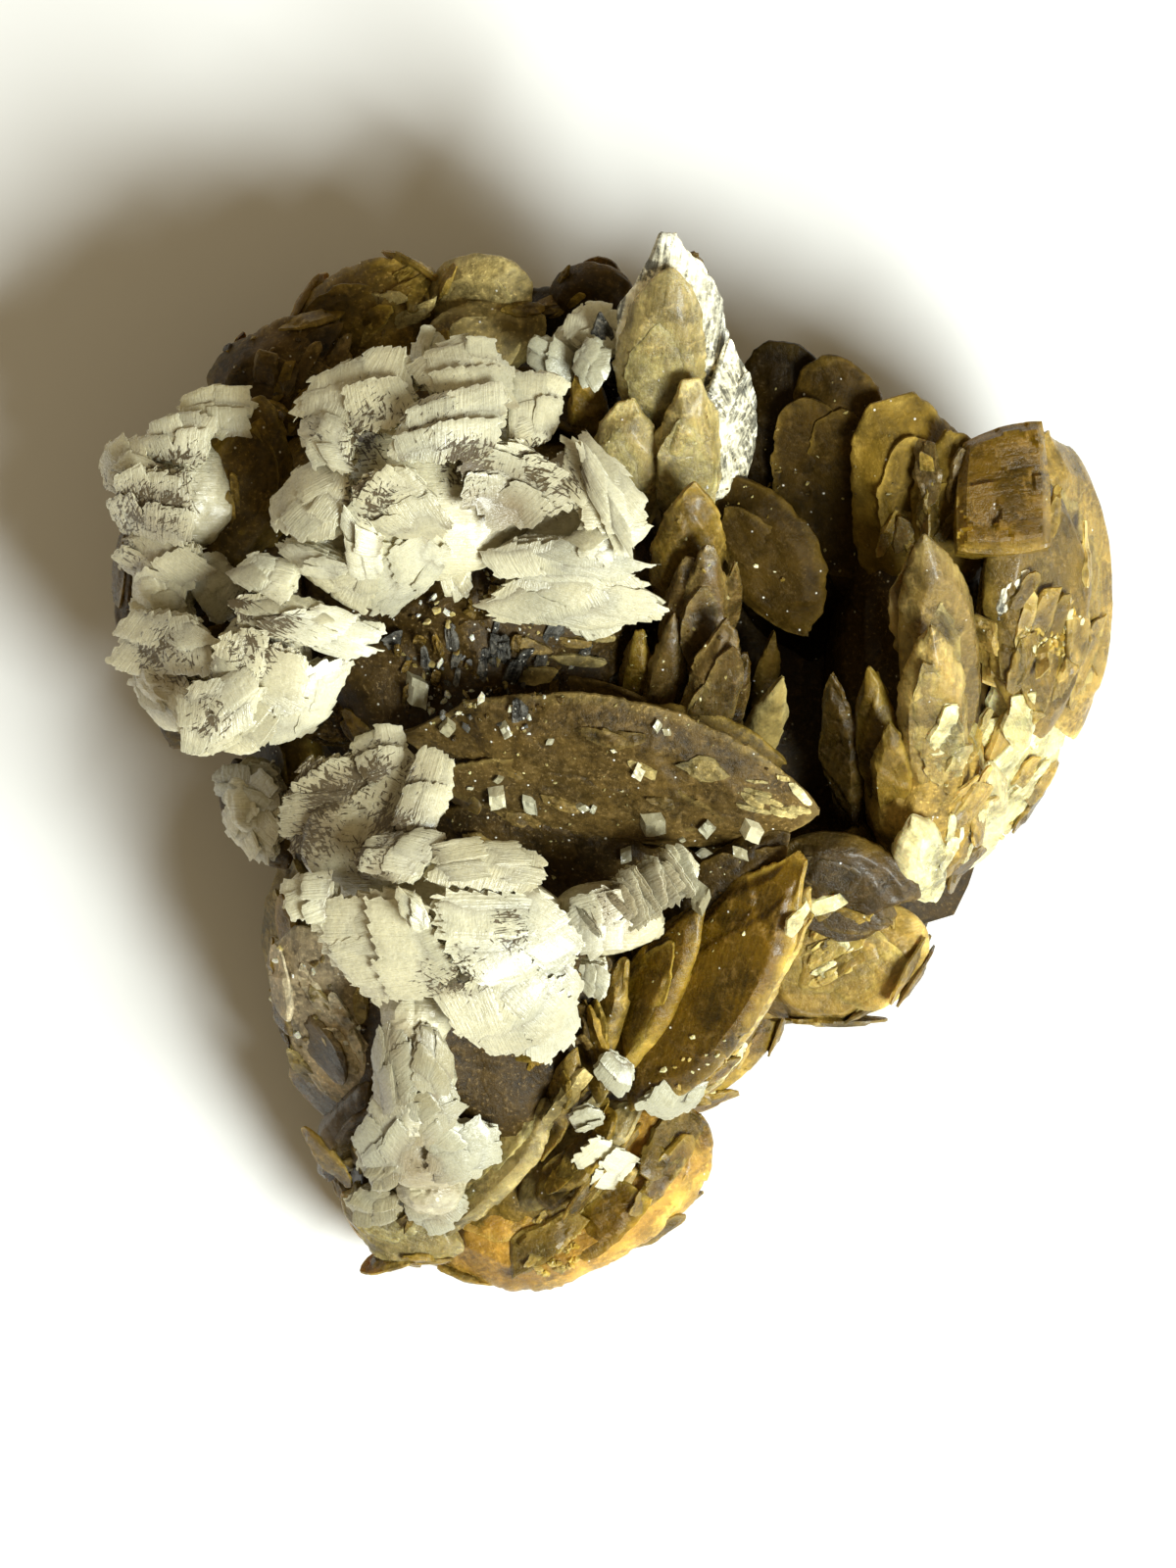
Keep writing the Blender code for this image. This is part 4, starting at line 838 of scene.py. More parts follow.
# %% Cores
CORES = [  # centre and half sizes (mm), tint
    ((-13, 18, 15), (21, 22, 21), "umber"),
    ((-35, 20, 16), (11, 15.5, 12), "umber"),
    ((-12, -18, 13), (20, 24, 17), "umber"),
    ((-7, -38, 6), (16, 13, 10), "honey"),
    ((33, 12, 11), (10.5, 23, 16), "umber"),
    ((17, -14.5, 8), (14, 11.5, 13), "umber"),
    ((8, 6, 22), (5.8, 13, 9), "umber"),
    ((1, 34, 17), (7, 7.5, 10), "umber"),
    ((33, 0, 18), (6.5, 12, 11), "gold"),
    ((9, -23, 14), (7, 11, 9), "honey"),
    ((4, 4, 2), (38, 36, 11), "umber"),
]
CORE_RINGS, ROOT_RINGS = 42, 28  # rings of latitude on a core, and on the root of a dolomite cluster
FLOOR_GAP = 0.05  # mm between the floor and what stands on it


def lump(centre, radii, tint, seed, rings):
    """A rough lump that fills the space between crystals: a ball whose radius is multiplied by 1 plus
    three sizes of noise."""
    points, unit, bands, caps = ball(centre, radii, rings, int(rings * 1.6))
    rough = 1 + 0.09 * noise(unit * 2.2, 1.0, seed) + 0.05 * noise(unit * 6, 1.0, seed + 1)
    rough = rough + 0.03 * noise(unit * 14, 1.0, seed + 2)
    points = np.array(centre) + (points - np.array(centre)) * rough[:, None]
    layers = {"tint": np.tile(np.append(tint, 1.0), (len(points), 1)), "surface": placed(*points.T[:2], 3.0)}
    return points, [bands, caps], layers


def above_floor(body):
    """The body with every point under the floor lifted to just above it."""
    points, faces, layers = body
    points = points.copy()
    points[:, 2] = np.maximum(points[:, 2], FLOOR_GAP)
    return points, faces, layers


core_bodies = []
for k, (centre, radii, tint) in enumerate(CORES):
    core_bodies.append(above_floor(lump(centre, radii, COLOURS[tint][0], 60 + k, CORE_RINGS)))
siderite_piece("siderite_cores", core_bodies, FROSTED)

# %% [markdown]
# Broken blocks are thick plates between four corners, whose top has split into many small faces that
# lean a little. The smooth plate comes first, because the dolomite needs it too.

# %% A smooth plate between four corners
EDGE_SWELL = 0.10  # how far a plate's edges bow out, as a share of the half size


def facing_of(corners):
    """The corners as an array, turned over if needed so that the plate faces up, and its facing."""
    p = np.array(corners, float)
    facing = np.cross(p[2] - p[0], p[3] - p[1])
    facing /= np.linalg.norm(facing)
    return (p, facing) if facing[2] > 0 else (p[::-1], -facing)


def on_plate(p, rise, facing, q, r):
    """Points of the smooth plate, with q and r from -1 to 1: the corners blended two ways, the edges
    bowed out by EDGE_SWELL (1 - q^2), and the middle lifted by rise (1 - q^2)(1 - r^2)."""
    q, r = q[..., None], r[..., None]
    s, t = (q + 1) / 2, (r + 1) / 2
    flat = (1 - s) * (1 - t) * p[0] + s * (1 - t) * p[1] + s * t * p[2] + (1 - s) * t * p[3]
    half_s, half_t = (p[1] + p[2] - p[0] - p[3]) / 4, (p[2] + p[3] - p[0] - p[1]) / 4
    swell = EDGE_SWELL * (q * (1 - r**2) * half_s + r * (1 - q**2) * half_t)
    return flat + swell + rise * (1 - q**2) * (1 - r**2) * facing


# %% [markdown]
# Booleans could cut the blocks from cubes, but a mosaic of levels and slopes makes their many faces at
# once.

# %% Broken blocks
BLOCKS = [  # four corners, rise, thickness, tint
    ((36.6, 33.2, 35), (44.6, 35.4, 35), (45.4, 22.6, 36), (36, 22.2, 37), 0.3, 7, "glass"),
    ((40.2, 22, 31), (47, 21, 30), (46, 8, 27), (39, 8.4, 29), 0.8, 7, "gold"),
    ((18.4, -25, 15), (28, -22, 15), (29, -12, 20), (17, -14, 20), 0.6, 8, "gold"),
]
BLOCK_STEP = 0.3  # mm between points on a block
COARSE, FINE = (4.6, 0.26, 0.14), (1.4, 0.03, 0.03)  # cell size (mm), level (mm) and lean of a mosaic
BLOCK_BEVEL = 1.3  # mm, how far the edges of the top drop


def block(corners, rise, thick, tint, seed):
    """A thick plate between four corners whose top breaks into flat facets: a coarse mosaic with strong
    leans, over a fine one. With near = max(|q|, |r|), its thickness is thick (1 - near^4 / 4)."""
    p, facing = facing_of(corners)
    long, wide = np.linalg.norm(p[1] - p[0]), np.linalg.norm(p[3] - p[0])
    evenly = [np.linspace(-1, 1, int(size / BLOCK_STEP)) for size in (long, wide)]
    q, r = np.meshgrid(*evenly, indexing="ij")
    near = np.maximum(np.abs(q), np.abs(r))
    smooth = on_plate(p, rise, facing, q, r)
    u, v = q * long / 2, r * wide / 2
    height = mosaic(u, v, *COARSE, seed) + mosaic(u, v, *FINE, seed + 1)
    height = height - BLOCK_BEVEL * smooth_step(0.80, 1.0, near)
    top = smooth + height[..., None] * facing
    bottom = smooth - (thick * (1 - 0.25 * near**4))[..., None] * facing
    points, faces = slab(top, bottom)
    face, rim = (np.array(part) for part in COLOURS[tint])
    # Near the edges the face blends into the rim tint, painted light that comes through.
    share = 0.3 * smooth_step(0.7, 1.0, near)[..., None]
    mottle = 1 + 0.25 * noise(np.stack([u, v], -1), 2.2, seed + 3)
    colour = (face * (1 - share) + rim * share) * mottle[..., None]
    colour = np.concatenate([colour, 0 * share + 1], axis=-1)
    return points, [faces], both_sides({"tint": colour, "surface": placed(u, v, 5.0)})


block_bodies = [block(row[:4], *row[4:], 70 + k) for k, row in enumerate(BLOCKS)]
siderite_piece("broken_blocks", block_bodies, HONEY, sharp=0.35)

# %% [markdown]
# Three rows of large blades close the sides all round. Each leans back against the rows above it, as in
# a cluster that grew outwards.

# %% Skirts
REACH = [45.5, 51.0, 56.0, 50.0, 47.5, 45.5, 50.5, 52.5, 56.5, 56.5, 59.0, 52.0,
         41, 37.5, 39.5, 43.5, 50, 55, 50.5, 41, 34, 32, 35, 36.0]
REACH_STEP = 15  # degrees between the values of REACH, which are mm from the middle to the footprint's edge
# Height, share of the reach, number in a full turn, lean, and where the row starts and ends, in degrees.
SKIRTS = [(5.5, 0.84, 20, 34, 0, 360), (14.5, 0.92, 21, 50, -27, 207), (23.5, 0.82, 24, 58, 82, 142)]
SKIRT_LENGTH, SKIRT_WIDTH, SKIRT_THICK = 16.5, 13.5, 5.4
SKIRT_TINTS = ("brown", "umber", "honey", "olive")


def skirt_rows():
    """Rows of blades round the sides, in the form of the tables. Each row stands at its share of the
    footprint's reach, and its blades lie nearly level along it, rolled by its lean."""
    rng = np.random.default_rng(7)
    rows = {}
    for level, (height, share, count, lean, first, last) in enumerate(SKIRTS):
        for k in range(count):
            angle = 2 * math.pi * (k + 0.5 * level) / count
            if (math.degrees(angle) - first) % 360 > last - first:
                continue
            reach = np.interp(math.degrees(angle) % 360, np.arange(25) * REACH_STEP, REACH + REACH[:1])
            radius = share * reach - 0.3 * SKIRT_WIDTH
            centre = np.array([radius * math.cos(angle), radius * math.sin(angle), height])
            along = np.array([-math.sin(angle), math.cos(angle), rng.uniform(-0.35, 0.35)])
            half = along / np.linalg.norm(along) * 0.5 * SKIRT_LENGTH * rng.uniform(0.85, 1.15)
            roll = lean + rng.uniform(-14, 14)
            width = SKIRT_WIDTH * rng.uniform(0.85, 1.1)
            tint = SKIRT_TINTS[(k * 3 + level) % 4]
            rows[f"skirt_{level}_{k}"] = (centre - half, centre + half, width, SKIRT_THICK, roll, tint)
    return rows


skirt_bodies = [above_floor(body) for body in blade_bodies(skirt_rows(), 9100, step=0.64, power=ROUNDED)]
siderite_piece("skirt_blades", skirt_bodies, FROSTED)

# %% [markdown]
# ## Ledges
#
# The large crystals carry smaller ones that lie half sunk in them, which turn plain lenses into masses
# of crystal. Each ledge is a small blade, laid where a line dropped from above meets the siderite.
# Instances on a surface would be Blender's own way to scatter them, but here each one also follows the
# direction of its neighbours.

# %% Where lines from above meet the siderite
OUTSIDE = 200.0  # mm from the middle, clear of the specimen


def tree_of(names):
    """A search tree of some pieces' faces, in metres."""
    points, faces, start = [], [], 0
    for name in names:
        mesh = bpy.data.objects[name].data
        points += [vertex.co for vertex in mesh.vertices]
        faces += [[start + corner for corner in face.vertices] for face in mesh.polygons]
        start = len(points)
    return BVHTree.FromPolygons(points, faces)


LARGE_PIECES = [
    "rosette_blades", "bright_blades", "middle_blades", "striped_blades", "cleft_blades",
    "shell_blades", "lower_blades", "amber_blades", "foot_blades", "edge_blades",
    "siderite_cores", "broken_blocks", "skirt_blades",
]
SIDERITE_TREE = tree_of(LARGE_PIECES)


def dropped(x, y):
    """Place and facing (mm) where a line dropped at x, y meets the siderite, or None."""
    place, facing, _, _ = SIDERITE_TREE.ray_cast(Vector((x, y, OUTSIDE)) * MM, Vector((0, 0, -1)))
    return None if place is None else (np.array(place) / MM, np.array(facing))


def drop_points(region, rng):
    """Places and facings (mm) of the siderite at random spots of a region."""
    x, y, radius, number = region[:4]
    turn, away = rng.uniform(0, 2 * math.pi, number), radius * np.sqrt(rng.uniform(0, 1, number))
    spots = np.stack([x + away * np.cos(turn), y + away * np.sin(turn)], axis=-1)
    found = [dropped(*spot) for spot in spots]
    return np.array([np.concatenate(hit) for hit in found if hit is not None])


print("siderite at the middle:", dropped(0, 0)[0].round(1), "mm")

# %% [markdown]
# Each row below is a region seen from above, with the number, length and direction of its ledges, and
# how far they lean out of the face that they lie on.

# %% Regions of ledges
GOLDEN_LEDGES = [  # x, y, radius, number, shortest and longest (mm), direction and lift in degrees, tints
    (47.5, 25, 4, 8, 7, 12, 84, 3, ("gold", "honey", "honey")),
    (47.5, 11, 5, 10, 7, 13, 80, 3, ("gold", "gold", "honey")),
    (42.5, 14, 3.6, 6, 5, 9, 76, 5, ("honey", "gold", "olive")),
    (42, 1, 5.5, 15, 6, 11, 72, 4, ("gold", "pale", "gold")),
    (38, -6, 4, 14, 5, 9, 66, 4, ("pale", "pale", "gold")),
    (37, 3, 3.4, 8, 5, 9, 82, 6, ("gold", "pale", "tan")),
    (32, 36.5, 4.5, 10, 5, 9, 76, 5, ("honey", "brown", "honey")),
    (33, 27, 4.5, 9, 5, 9, 84, 5, ("honey", "brown")),
    (22.6, -17.4, 4.4, 22, 3, 6.5, 30, 4, ("gold", "gold", "pale", "honey")),
    (-3, -46.5, 6, 8, 8, 13, 34, 2, ("honey", "gold", "glass")),
    (7, -41, 4.5, 6, 7, 12, 48, 2, ("glass", "honey", "gold")),
    (13, -31, 3.6, 12, 4, 8, 38, 8, ("pale", "gold", "tan")),
]
DARK_LEDGES = [
    (-24.5, -45, 4.6, 18, 3, 6.5, 48, 14, ("umber", "brown", "grey", "honey")),
    (-31, -26, 6, 9, 5, 9, 100, 6, ("ash", "grey", "ash")),
    (-32, 41.5, 6.5, 20, 4, 8, 62, 12, ("brown", "umber", "honey", "brown")),
    (-20, 47, 5.5, 16, 4, 7.5, 40, 10, ("honey", "olive", "tan")),
    (-6, 48, 4.5, 8, 3, 6, 25, 12, ("umber", "brown", "olive")),
    (-40, 27, 4.5, 8, 3.5, 7, 82, 12, ("umber", "brown", "honey")),
    (-4, -34, 6, 6, 5, 10, 57, 8, ("olive", "grey", "brown", "glass")),
    (-4, -25.5, 5, 20, 6, 12, 66, 14, ("umber", "brown", "olive", "glass")),
    (18, -3.4, 3.4, 16, 2, 4.5, -22, 7, ("tan", "grey", "tan", "pale")),
    (-4, 0.5, 14, 16, 3, 7, -12, 4, ("brown", "brown", "grey")),
]
STRIPED_LEDGES = [
    (-9, 11.5, 7, 26, 2.5, 6, 84, 20, ("steel", "umber", "steel")),
    (-20, 10, 4, 8, 2.5, 5, 78, 18, ("steel", "umber")),
]


# %% [markdown]
# A ledge is a row like those of the large blades, so the same function makes it. A seeded generator
# gives its numbers, and it is left out where one of its ends would hang over nothing.

# %% Ledges
LEDGE_THICK, LEDGE_GROWTH = 0.5, 0.05  # mm, and mm for each mm of its length
FACING_SPREAD, HEADING_SPREAD, LIFT_SPREAD = 0.10, 11, 5  # how far ledges stray: a share, and degrees
LEDGE_HANG = 4.0  # mm that the end of a ledge may stand over what is under it
LEDGE_SHAPE = {"layers": 0, "step": 0.42, "cuts": 5, "low": 0.60, "flat_share": 0.84}


def unit(direction):
    """The direction at length 1."""
    return direction / np.linalg.norm(direction)


def ledge_row(place, facing, along, length, width, tint):
    """A row of the tables for a blade that lies round a place, along a direction, with its flat face
    turned as near as it can be to the facing."""
    across = unit(np.cross(facing, along))
    level = np.array([-along[1], along[0], 0.0]) / np.linalg.norm(along[:2])
    roll = math.degrees(math.atan2(across @ np.cross(along, level), across @ level))
    half = along * length / 2
    return (place - half, place + half, width, LEDGE_THICK + LEDGE_GROWTH * length, roll, tint)


def ledge_rows(region, seed):
    """Rows of small blades in the form of the tables, each about along the region's direction."""
    rng = np.random.default_rng(seed)
    shortest, longest, direction, lift, tints = region[4:]
    rows = {}
    for k, hit in enumerate(drop_points(region, rng)):
        place, facing = hit[:3], unit(hit[3:] + rng.normal(0, FACING_SPREAD, 3))
        heading = math.radians(direction + rng.normal(0, HEADING_SPREAD))
        along = np.array([math.cos(heading), math.sin(heading), 0.0])
        along = along - facing * (along @ facing)
        tilt = math.radians(lift + rng.normal(0, LIFT_SPREAD))
        along = unit(along) * math.cos(tilt) + facing * math.sin(tilt)
        length = rng.uniform(shortest, longest)
        width, tint = length * rng.uniform(0.26, 0.50), tints[rng.integers(len(tints))]
        ends = place - along * length / 2, place + along * length / 2
        hits = [dropped(*end[:2]) for end in ends]
        if all(under is not None and end[2] - under[0][2] < LEDGE_HANG for end, under in zip(ends, hits)):
            rows[f"ledge_{k}"] = ledge_row(place, facing, along, length, width, tint)
    return rows


def ledge_bodies(regions, seed, power):
    """The bodies of all the ledges of a table of regions, with outlines of one power."""
    bodies = []
    for count, region in enumerate(regions):
        rows = ledge_rows(region, seed + count)
        bodies += blade_bodies(rows, 10000 + 900 * count + 10 * seed, power=power, **LEDGE_SHAPE)
    return bodies


for name, regions, finish, power in (
    ("golden_ledges", GOLDEN_LEDGES, HONEY, 0.5),
    ("dark_ledges", DARK_LEDGES, FROSTED, 0.9),
    ("striped_ledges", STRIPED_LEDGES, STEEL, 0.7),
):
    siderite_piece(name, ledge_bodies(regions, 300, power), finish, sharp=SMALL_EDGE)

# %% [markdown]
# The sides carry blades of the same kind, which stand out of the rows of larger ones like petals. A level
# line from outside towards the middle finds the place of each.

# %% Side blades
SIDE_TINTS = [  # up to how many degrees round from +X, tints
    (50, ("honey", "bronze", "brown", "honey")), (200, ("brown", "umber", "honey", "olive")),
    (235, ("brown", "grey", "umber", "honey")), (300, ("honey", "amber", "glass", "honey")),
    (361, ("honey", "bronze", "gold", "brown")),
]
SIDE_REACH = np.array([52.8, 55.4])  # mm from the middle along x and y that no side blade passes
STEEPEST = 0.45  # a face that looks up more than this carries no side blade
SIDE_CANT, SIDE_DIP = (6, 24), 0.22  # degrees out of the face, and spread of the slope along it
SIDE_LENGTH, SIDE_WIDTH = (5.0, 11.0), (0.42, 0.62)  # mm, and share of the length
SIDE_SHAPE = {"power": ROUNDED, "layers": 0, "step": 0.54, "cuts": 6, "low": 0.76, "flat_share": 0.74}


def side_rows(number, seed, sector, heights):
    """Rows of blades round the sides, in a sector (radians from +X) and between two heights (mm). Each
    lies nearly level along the face that carries it, and cants out of it."""
    rng = np.random.default_rng(seed)
    rows = {}
    for k in range(number):
        angle, height = rng.uniform(*sector), rng.uniform(*heights)
        tints = next(names for end, names in SIDE_TINTS if math.degrees(angle) < end)
        inwards = -np.array([math.cos(angle), math.sin(angle), 0.0])
        start = Vector((-OUTSIDE * inwards[0], -OUTSIDE * inwards[1], height)) * MM
        place, facing, _, _ = SIDERITE_TREE.ray_cast(start, Vector(inwards))
        cant, dip = math.radians(rng.uniform(*SIDE_CANT)), rng.normal(0, SIDE_DIP)
        length, share = rng.uniform(*SIDE_LENGTH), rng.uniform(*SIDE_WIDTH)
        tint = tints[rng.integers(len(tints))]
        if place is None or facing[2] > STEEPEST:
            continue
        facing = np.array(facing)
        along = np.cross(facing, (0, 0, 1.0)) + dip * np.array([0, 0, 1.0])
        along = unit(along - facing * (along @ facing))
        out = facing * math.cos(cant) + np.cross(along, facing) * math.sin(cant)
        place, across = np.array(place) / MM, np.cross(out, along)
        half_along, half_across = along * length / 2, across * length * share / 2
        corners = [place + i * half_along + j * half_across for i in (-1, 1) for j in (-1, 1)]
        if (np.abs(corners)[:, :2] < SIDE_REACH).all():
            rows[f"side_{seed}_{k}"] = ledge_row(place, out, along, length, length * share, tint)
    return rows


all_round = side_rows(240, 41, (0, 2 * math.pi), (2.0, 22.0))
under_crown = side_rows(70, 43, (1.9, 4.1), (21.0, 32.0))
side_bodies = blade_bodies({**all_round, **under_crown}, 31000, **SIDE_SHAPE)
siderite_piece("side_blades", [above_floor(body) for body in side_bodies], HONEY, sharp=SMALL_EDGE)

# %% [markdown]
# ## Crumbs
#
# Finer crumbs fill two granular orange patches, glitter along the striped edge and lie here and there on
# the frosted faces. Each is a flat lens with five sides, and all of a region are worked out at once.

# %% Regions of crumbs
CRUMB_SIDES = 5
CRUMB_REGIONS = [  # x, y, radius, number, smallest and largest size (mm), tints
    (45.8, 14.4, 3.3, 150, 0.5, 1.5, ("amber", "gold", "pale")),
    (-5.6, -50, 3.2, 90, 0.5, 1.3, ("amber", "gold")),
    (42, -2, 7, 60, 0.4, 1.1, ("gold", "pale")),
    # Crumbs of the glare tint, here and in the next row, are painted glints.
    (-12, 11, 9, 160, 0.4, 1.3, ("steel", "umber", "grey", "glare")),
    (-32, -25, 7.5, 50, 0.4, 1.2, ("grey", "brown", "glare")),
    (-31, 44, 9, 50, 0.5, 1.4, ("brown", "umber", "honey")),
    (22, 30, 10, 40, 0.25, 0.6, ("tan", "brown")),
    (0, -3, 20, 150, 0.25, 0.6, ("pale", "grey", "tan", "umber")),
    (8, 24, 12, 40, 0.3, 0.8, ("tan", "honey", "pale")),
    (11, -33, 6, 40, 0.4, 1.2, ("pale", "gold")),
]


# %% Crumbs
def crumb_faces(count):
    """The faces of so many crumbs. Each is three rings of CRUMB_SIDES points, a point above and one
    below: two bands of faces between the rings, and triangles to the two points."""
    ring, first = CRUMB_SIDES, np.arange(CRUMB_SIDES)
    beside = (first + 1) % ring
    bands = []
    for k in (0, ring):
        bands.append(np.stack([first + k, first + k + ring, beside + k + ring, beside + k], -1))
    above = np.stack([0 * first + 3 * ring, first, beside], -1)
    below = np.stack([0 * first + 3 * ring + 1, beside + 2 * ring, first + 2 * ring], -1)
    starts = (np.arange(count) * (3 * ring + 2))[:, None, None]
    quads = (np.concatenate(bands)[None] + starts).reshape(-1, 4)
    return [quads, (np.concatenate([above, below])[None] + starts).reshape(-1, 3)]


def crumb_frames(found, rng):
    """Facing, and directions ahead and across, of a crumb at each place, turned at random."""
    count = len(found)
    facing = found[:, 3:] + rng.normal(0, 0.5, (count, 3))
    facing /= np.linalg.norm(facing, axis=1, keepdims=True)
    heading = rng.uniform(0, 2 * math.pi, count)
    ahead = np.stack([np.cos(heading), np.sin(heading), rng.normal(0.25, 0.25, count)], axis=-1)
    across = np.cross(facing, ahead)
    across /= np.linalg.norm(across, axis=1, keepdims=True)
    return facing, np.cross(across, facing), across


def crumbs(region, seed):
    """All the crumbs of a region as one body. The middle ring of each is wide, and the outer ones are
    about two thirds as wide; small crumbs are more common than large ones."""
    rng = np.random.default_rng(seed)
    found = drop_points(region, rng)
    count = len(found)
    smallest, largest, tints = region[4:]
    size = (smallest + (largest - smallest) * rng.uniform(0, 1, count) ** 1.8)[:, None]
    facing, ahead, across = crumb_frames(found, rng)
    turn = np.arange(CRUMB_SIDES) + rng.uniform(-0.3, 0.3, (count, CRUMB_SIDES))
    angle = 2 * math.pi * turn / CRUMB_SIDES
    wide = rng.uniform(0.6, 1.1, (count, CRUMB_SIDES))
    long = 0.5 * size * wide * np.cos(angle) * 1.3
    side = 0.5 * size * wide * np.sin(angle) * rng.uniform(0.6, 1.0, (count, 1))
    thick = size * rng.uniform(0.18, 0.36, (count, 1))
    rings = []
    for share, level in ((0.7, 1), (1.0, 0.3), (0.6, -1)):
        flat = share * (long[..., None] * ahead[:, None] + side[..., None] * across[:, None])
        rings.append(flat + level * thick[..., None] * facing[:, None])
    ends = [(level * thick * facing)[:, None] for level in (1.05, -1.05)]
    shape = np.concatenate(rings + ends, axis=1)
    own = np.array([COLOURS[name] for name in tints])[rng.integers(0, len(tints), count)]
    share = rng.uniform(0, 1, (count, 1, 1))
    tint = (own[:, :1] * (1 - share) + own[:, 1:] * share) * rng.uniform(0.75, 1.1, (count, 1, 1))
    ones = np.ones((*shape.shape[:2], 1))
    layers = {}
    for key, value in (("tint", tint * ones), ("surface", shape)):
        layers[key] = np.concatenate([value, ones], axis=-1).reshape(-1, 4)
    return (found[:, None, :3] + shape).reshape(-1, 3), crumb_faces(count), layers


crumb_bodies = [above_floor(crumbs(region, 500 + k)) for k, region in enumerate(CRUMB_REGIONS)]
siderite_piece("crumbs", crumb_bodies, HONEY, sharp=0.25)

# %% [markdown]
# ## The dolomite plates
#
# First, where the white is not pure. Dark grains and stain sit where plates of a cluster meet. Each spot
# below is a place seen from above, its radius, and how strong it is there. Painting on the mesh would do
# the same by hand.

# %% Where dark grains and stain gather
SPECK_SPOTS = [  # x, y, radius (mm), strength
    (-23.3, 36.7, 3.4, 0.7), (-24.3, 32.7, 2.8, 0.9), (-29.8, 33.2, 2.8, 0.55), (-23.6, 27, 3.2, 0.95),
    (-23, 30.4, 3.2, 0.5), (-17.8, 35.2, 5, 0.55), (-13.8, 39.2, 3.2, 0.4), (-13.8, 30.2, 3.8, 0.95),
    (-6.8, 30.2, 3.2, 0.95), (-3.3, 28.2, 2.4, 0.85), (-5.6, 26.6, 2.6, 0.6), (-30.8, 30.2, 1.8, 0.4),
    (-43.8, 31.2, 4, 0.65), (-48.3, 27.2, 4, 0.95), (-44.8, 26.6, 3.4, 0.95), (-49.3, 22.2, 2.6, 0.7),
    (-37.3, 16.2, 2.2, 0.95), (-33.3, 14.2, 3.4, 0.75), (-35.3, 11.7, 3, 0.85), (-30.8, 12.7, 2.8, 0.55),
    (-37.8, 11.7, 1.8, 0.7), (-45.8, 11.7, 3.4, 0.85), (-43.3, 9.7, 3, 0.75), (-40.3, 4.7, 3, 0.85),
    (-29.4, -2.2, 5, 1), (-24.6, -0.8, 4.6, 0.9), (-19.8, -0.8, 3, 0.7), (-30.2, -7.2, 4.2, 0.9),
    (-21.8, -5.8, 3.8, 0.85), (-24.3, -9.2, 3.4, 0.8), (-17.8, -7.8, 2.8, 0.4), (-9.8, -16.3, 2.8, 0.85),
    (-14.3, -20.8, 3.2, 0.7), (-17.8, -21.8, 3.2, 0.55), (0.2, -13.8, 3.6, 0.45), (-22.3, -27.8, 2.8, 0.35),
    (-21.8, -34.8, 2.8, 0.35), (-19.3, -41.3, 3, 0.4),
]
STAIN_SPOTS = [
    (-28.8, -1.8, 5.6, 0.95), (-23.8, -0.8, 4.8, 0.75), (-19.8, -0.8, 3, 0.45), (-29.8, -6.8, 4.2, 0.85),
    (-21.8, -5.8, 3.8, 0.85), (-24.3, -9.6, 3.8, 0.75), (-12.3, 27.8, 3.6, 0.65), (-9.2, 26.2, 3.8, 0.85),
    (-46.2, 26, 5, 0.75), (-48, 22, 3.4, 0.7), (-44.6, 10.6, 4.2, 0.75), (-40, 5, 3.4, 0.5),
    (-34, 13.6, 3.4, 0.45), (0.6, -14.2, 4.4, 0.8), (5.4, -12, 3.6, 0.6), (-21.8, -28, 3.6, 0.7),
    (-19.3, -41.3, 3.8, 0.85), (-22.6, -33.8, 3.2, 0.65), (-17.4, -45, 3.8, 0.75), (-3.4, 29, 2.6, 0.5),
]
CLEAR_SPOTS = [  # places where plates are clearer, and so greyer
    (-4, -20.5, 5, 0.42), (-10, -20.5, 5, 0.40), (-7, -27, 4.6, 0.38), (-13, -15, 4, 0.16),
    (-11, 26, 5, 0.42), (-4, 20.5, 4, 0.24), (-24, 16.5, 3.6, 0.30), (-33, 24, 3, 0.18),
    (-42, 19, 4, 0.34), (-8, 16, 4, 0.20), (-34, 4, 3, 0.20), (2.5, 29, 3, 0.20),
    (-16, 43, 2.6, 0.24),
]


def spots_at(points, spots):
    """For each point, the strongest of the spots: strength times exp(-(distance / radius)^2), with
    distance seen from above."""
    table = np.array(spots)
    away = points[:, None, :2] - table[None, :, :2]
    return (table[:, 3] * np.exp(-(away**2).sum(axis=2) / table[:, 2] ** 2)).max(axis=1)


print(len(SPECK_SPOTS), "spots of dark grains,", len(STAIN_SPOTS), "of stain,", len(CLEAR_SPOTS), "clear")

# %% [markdown]
# Saddle dolomite grows as stacks of thin curved plates whose edges break into steps. A plate here is a
# patch between four corners, bowed out at its edges and lifted in the middle; corners at different
# heights give the saddle. It is made of leaves, each a thin body that follows part of the plate. The
# outline of a leaf is rounded at its corners and toothed like a saw.

# %% Outline of a leaf
NOTCH_WIDE, NOTCH_DEEP = 1.5, 0.16  # mm along an edge, and share of the half size into it
FINE_NOTCH = 0.42  # mm along an edge


def notches(place, reach, seed):
    """Depth of the teeth along an edge at each place from -1 to 1. Like the teeth of a saw, each cuts
    in evenly and comes back at once; it starts from a depth of its own. Finer steps lie over them."""
    run = place[..., None] * reach
    teeth = run / NOTCH_WIDE + 0.3
    number = np.floor(teeth).astype(np.int64)
    own = np.abs(lattice(number, seed))
    fine = lattice(np.floor(run / FINE_NOTCH).astype(np.int64), seed + 1)
    slope = (teeth - number)[..., 0]
    return NOTCH_DEEP * (0.65 * own + 0.75 * slope + 0.16 * fine + 0.30 * noise(run, 3.0, seed + 2))


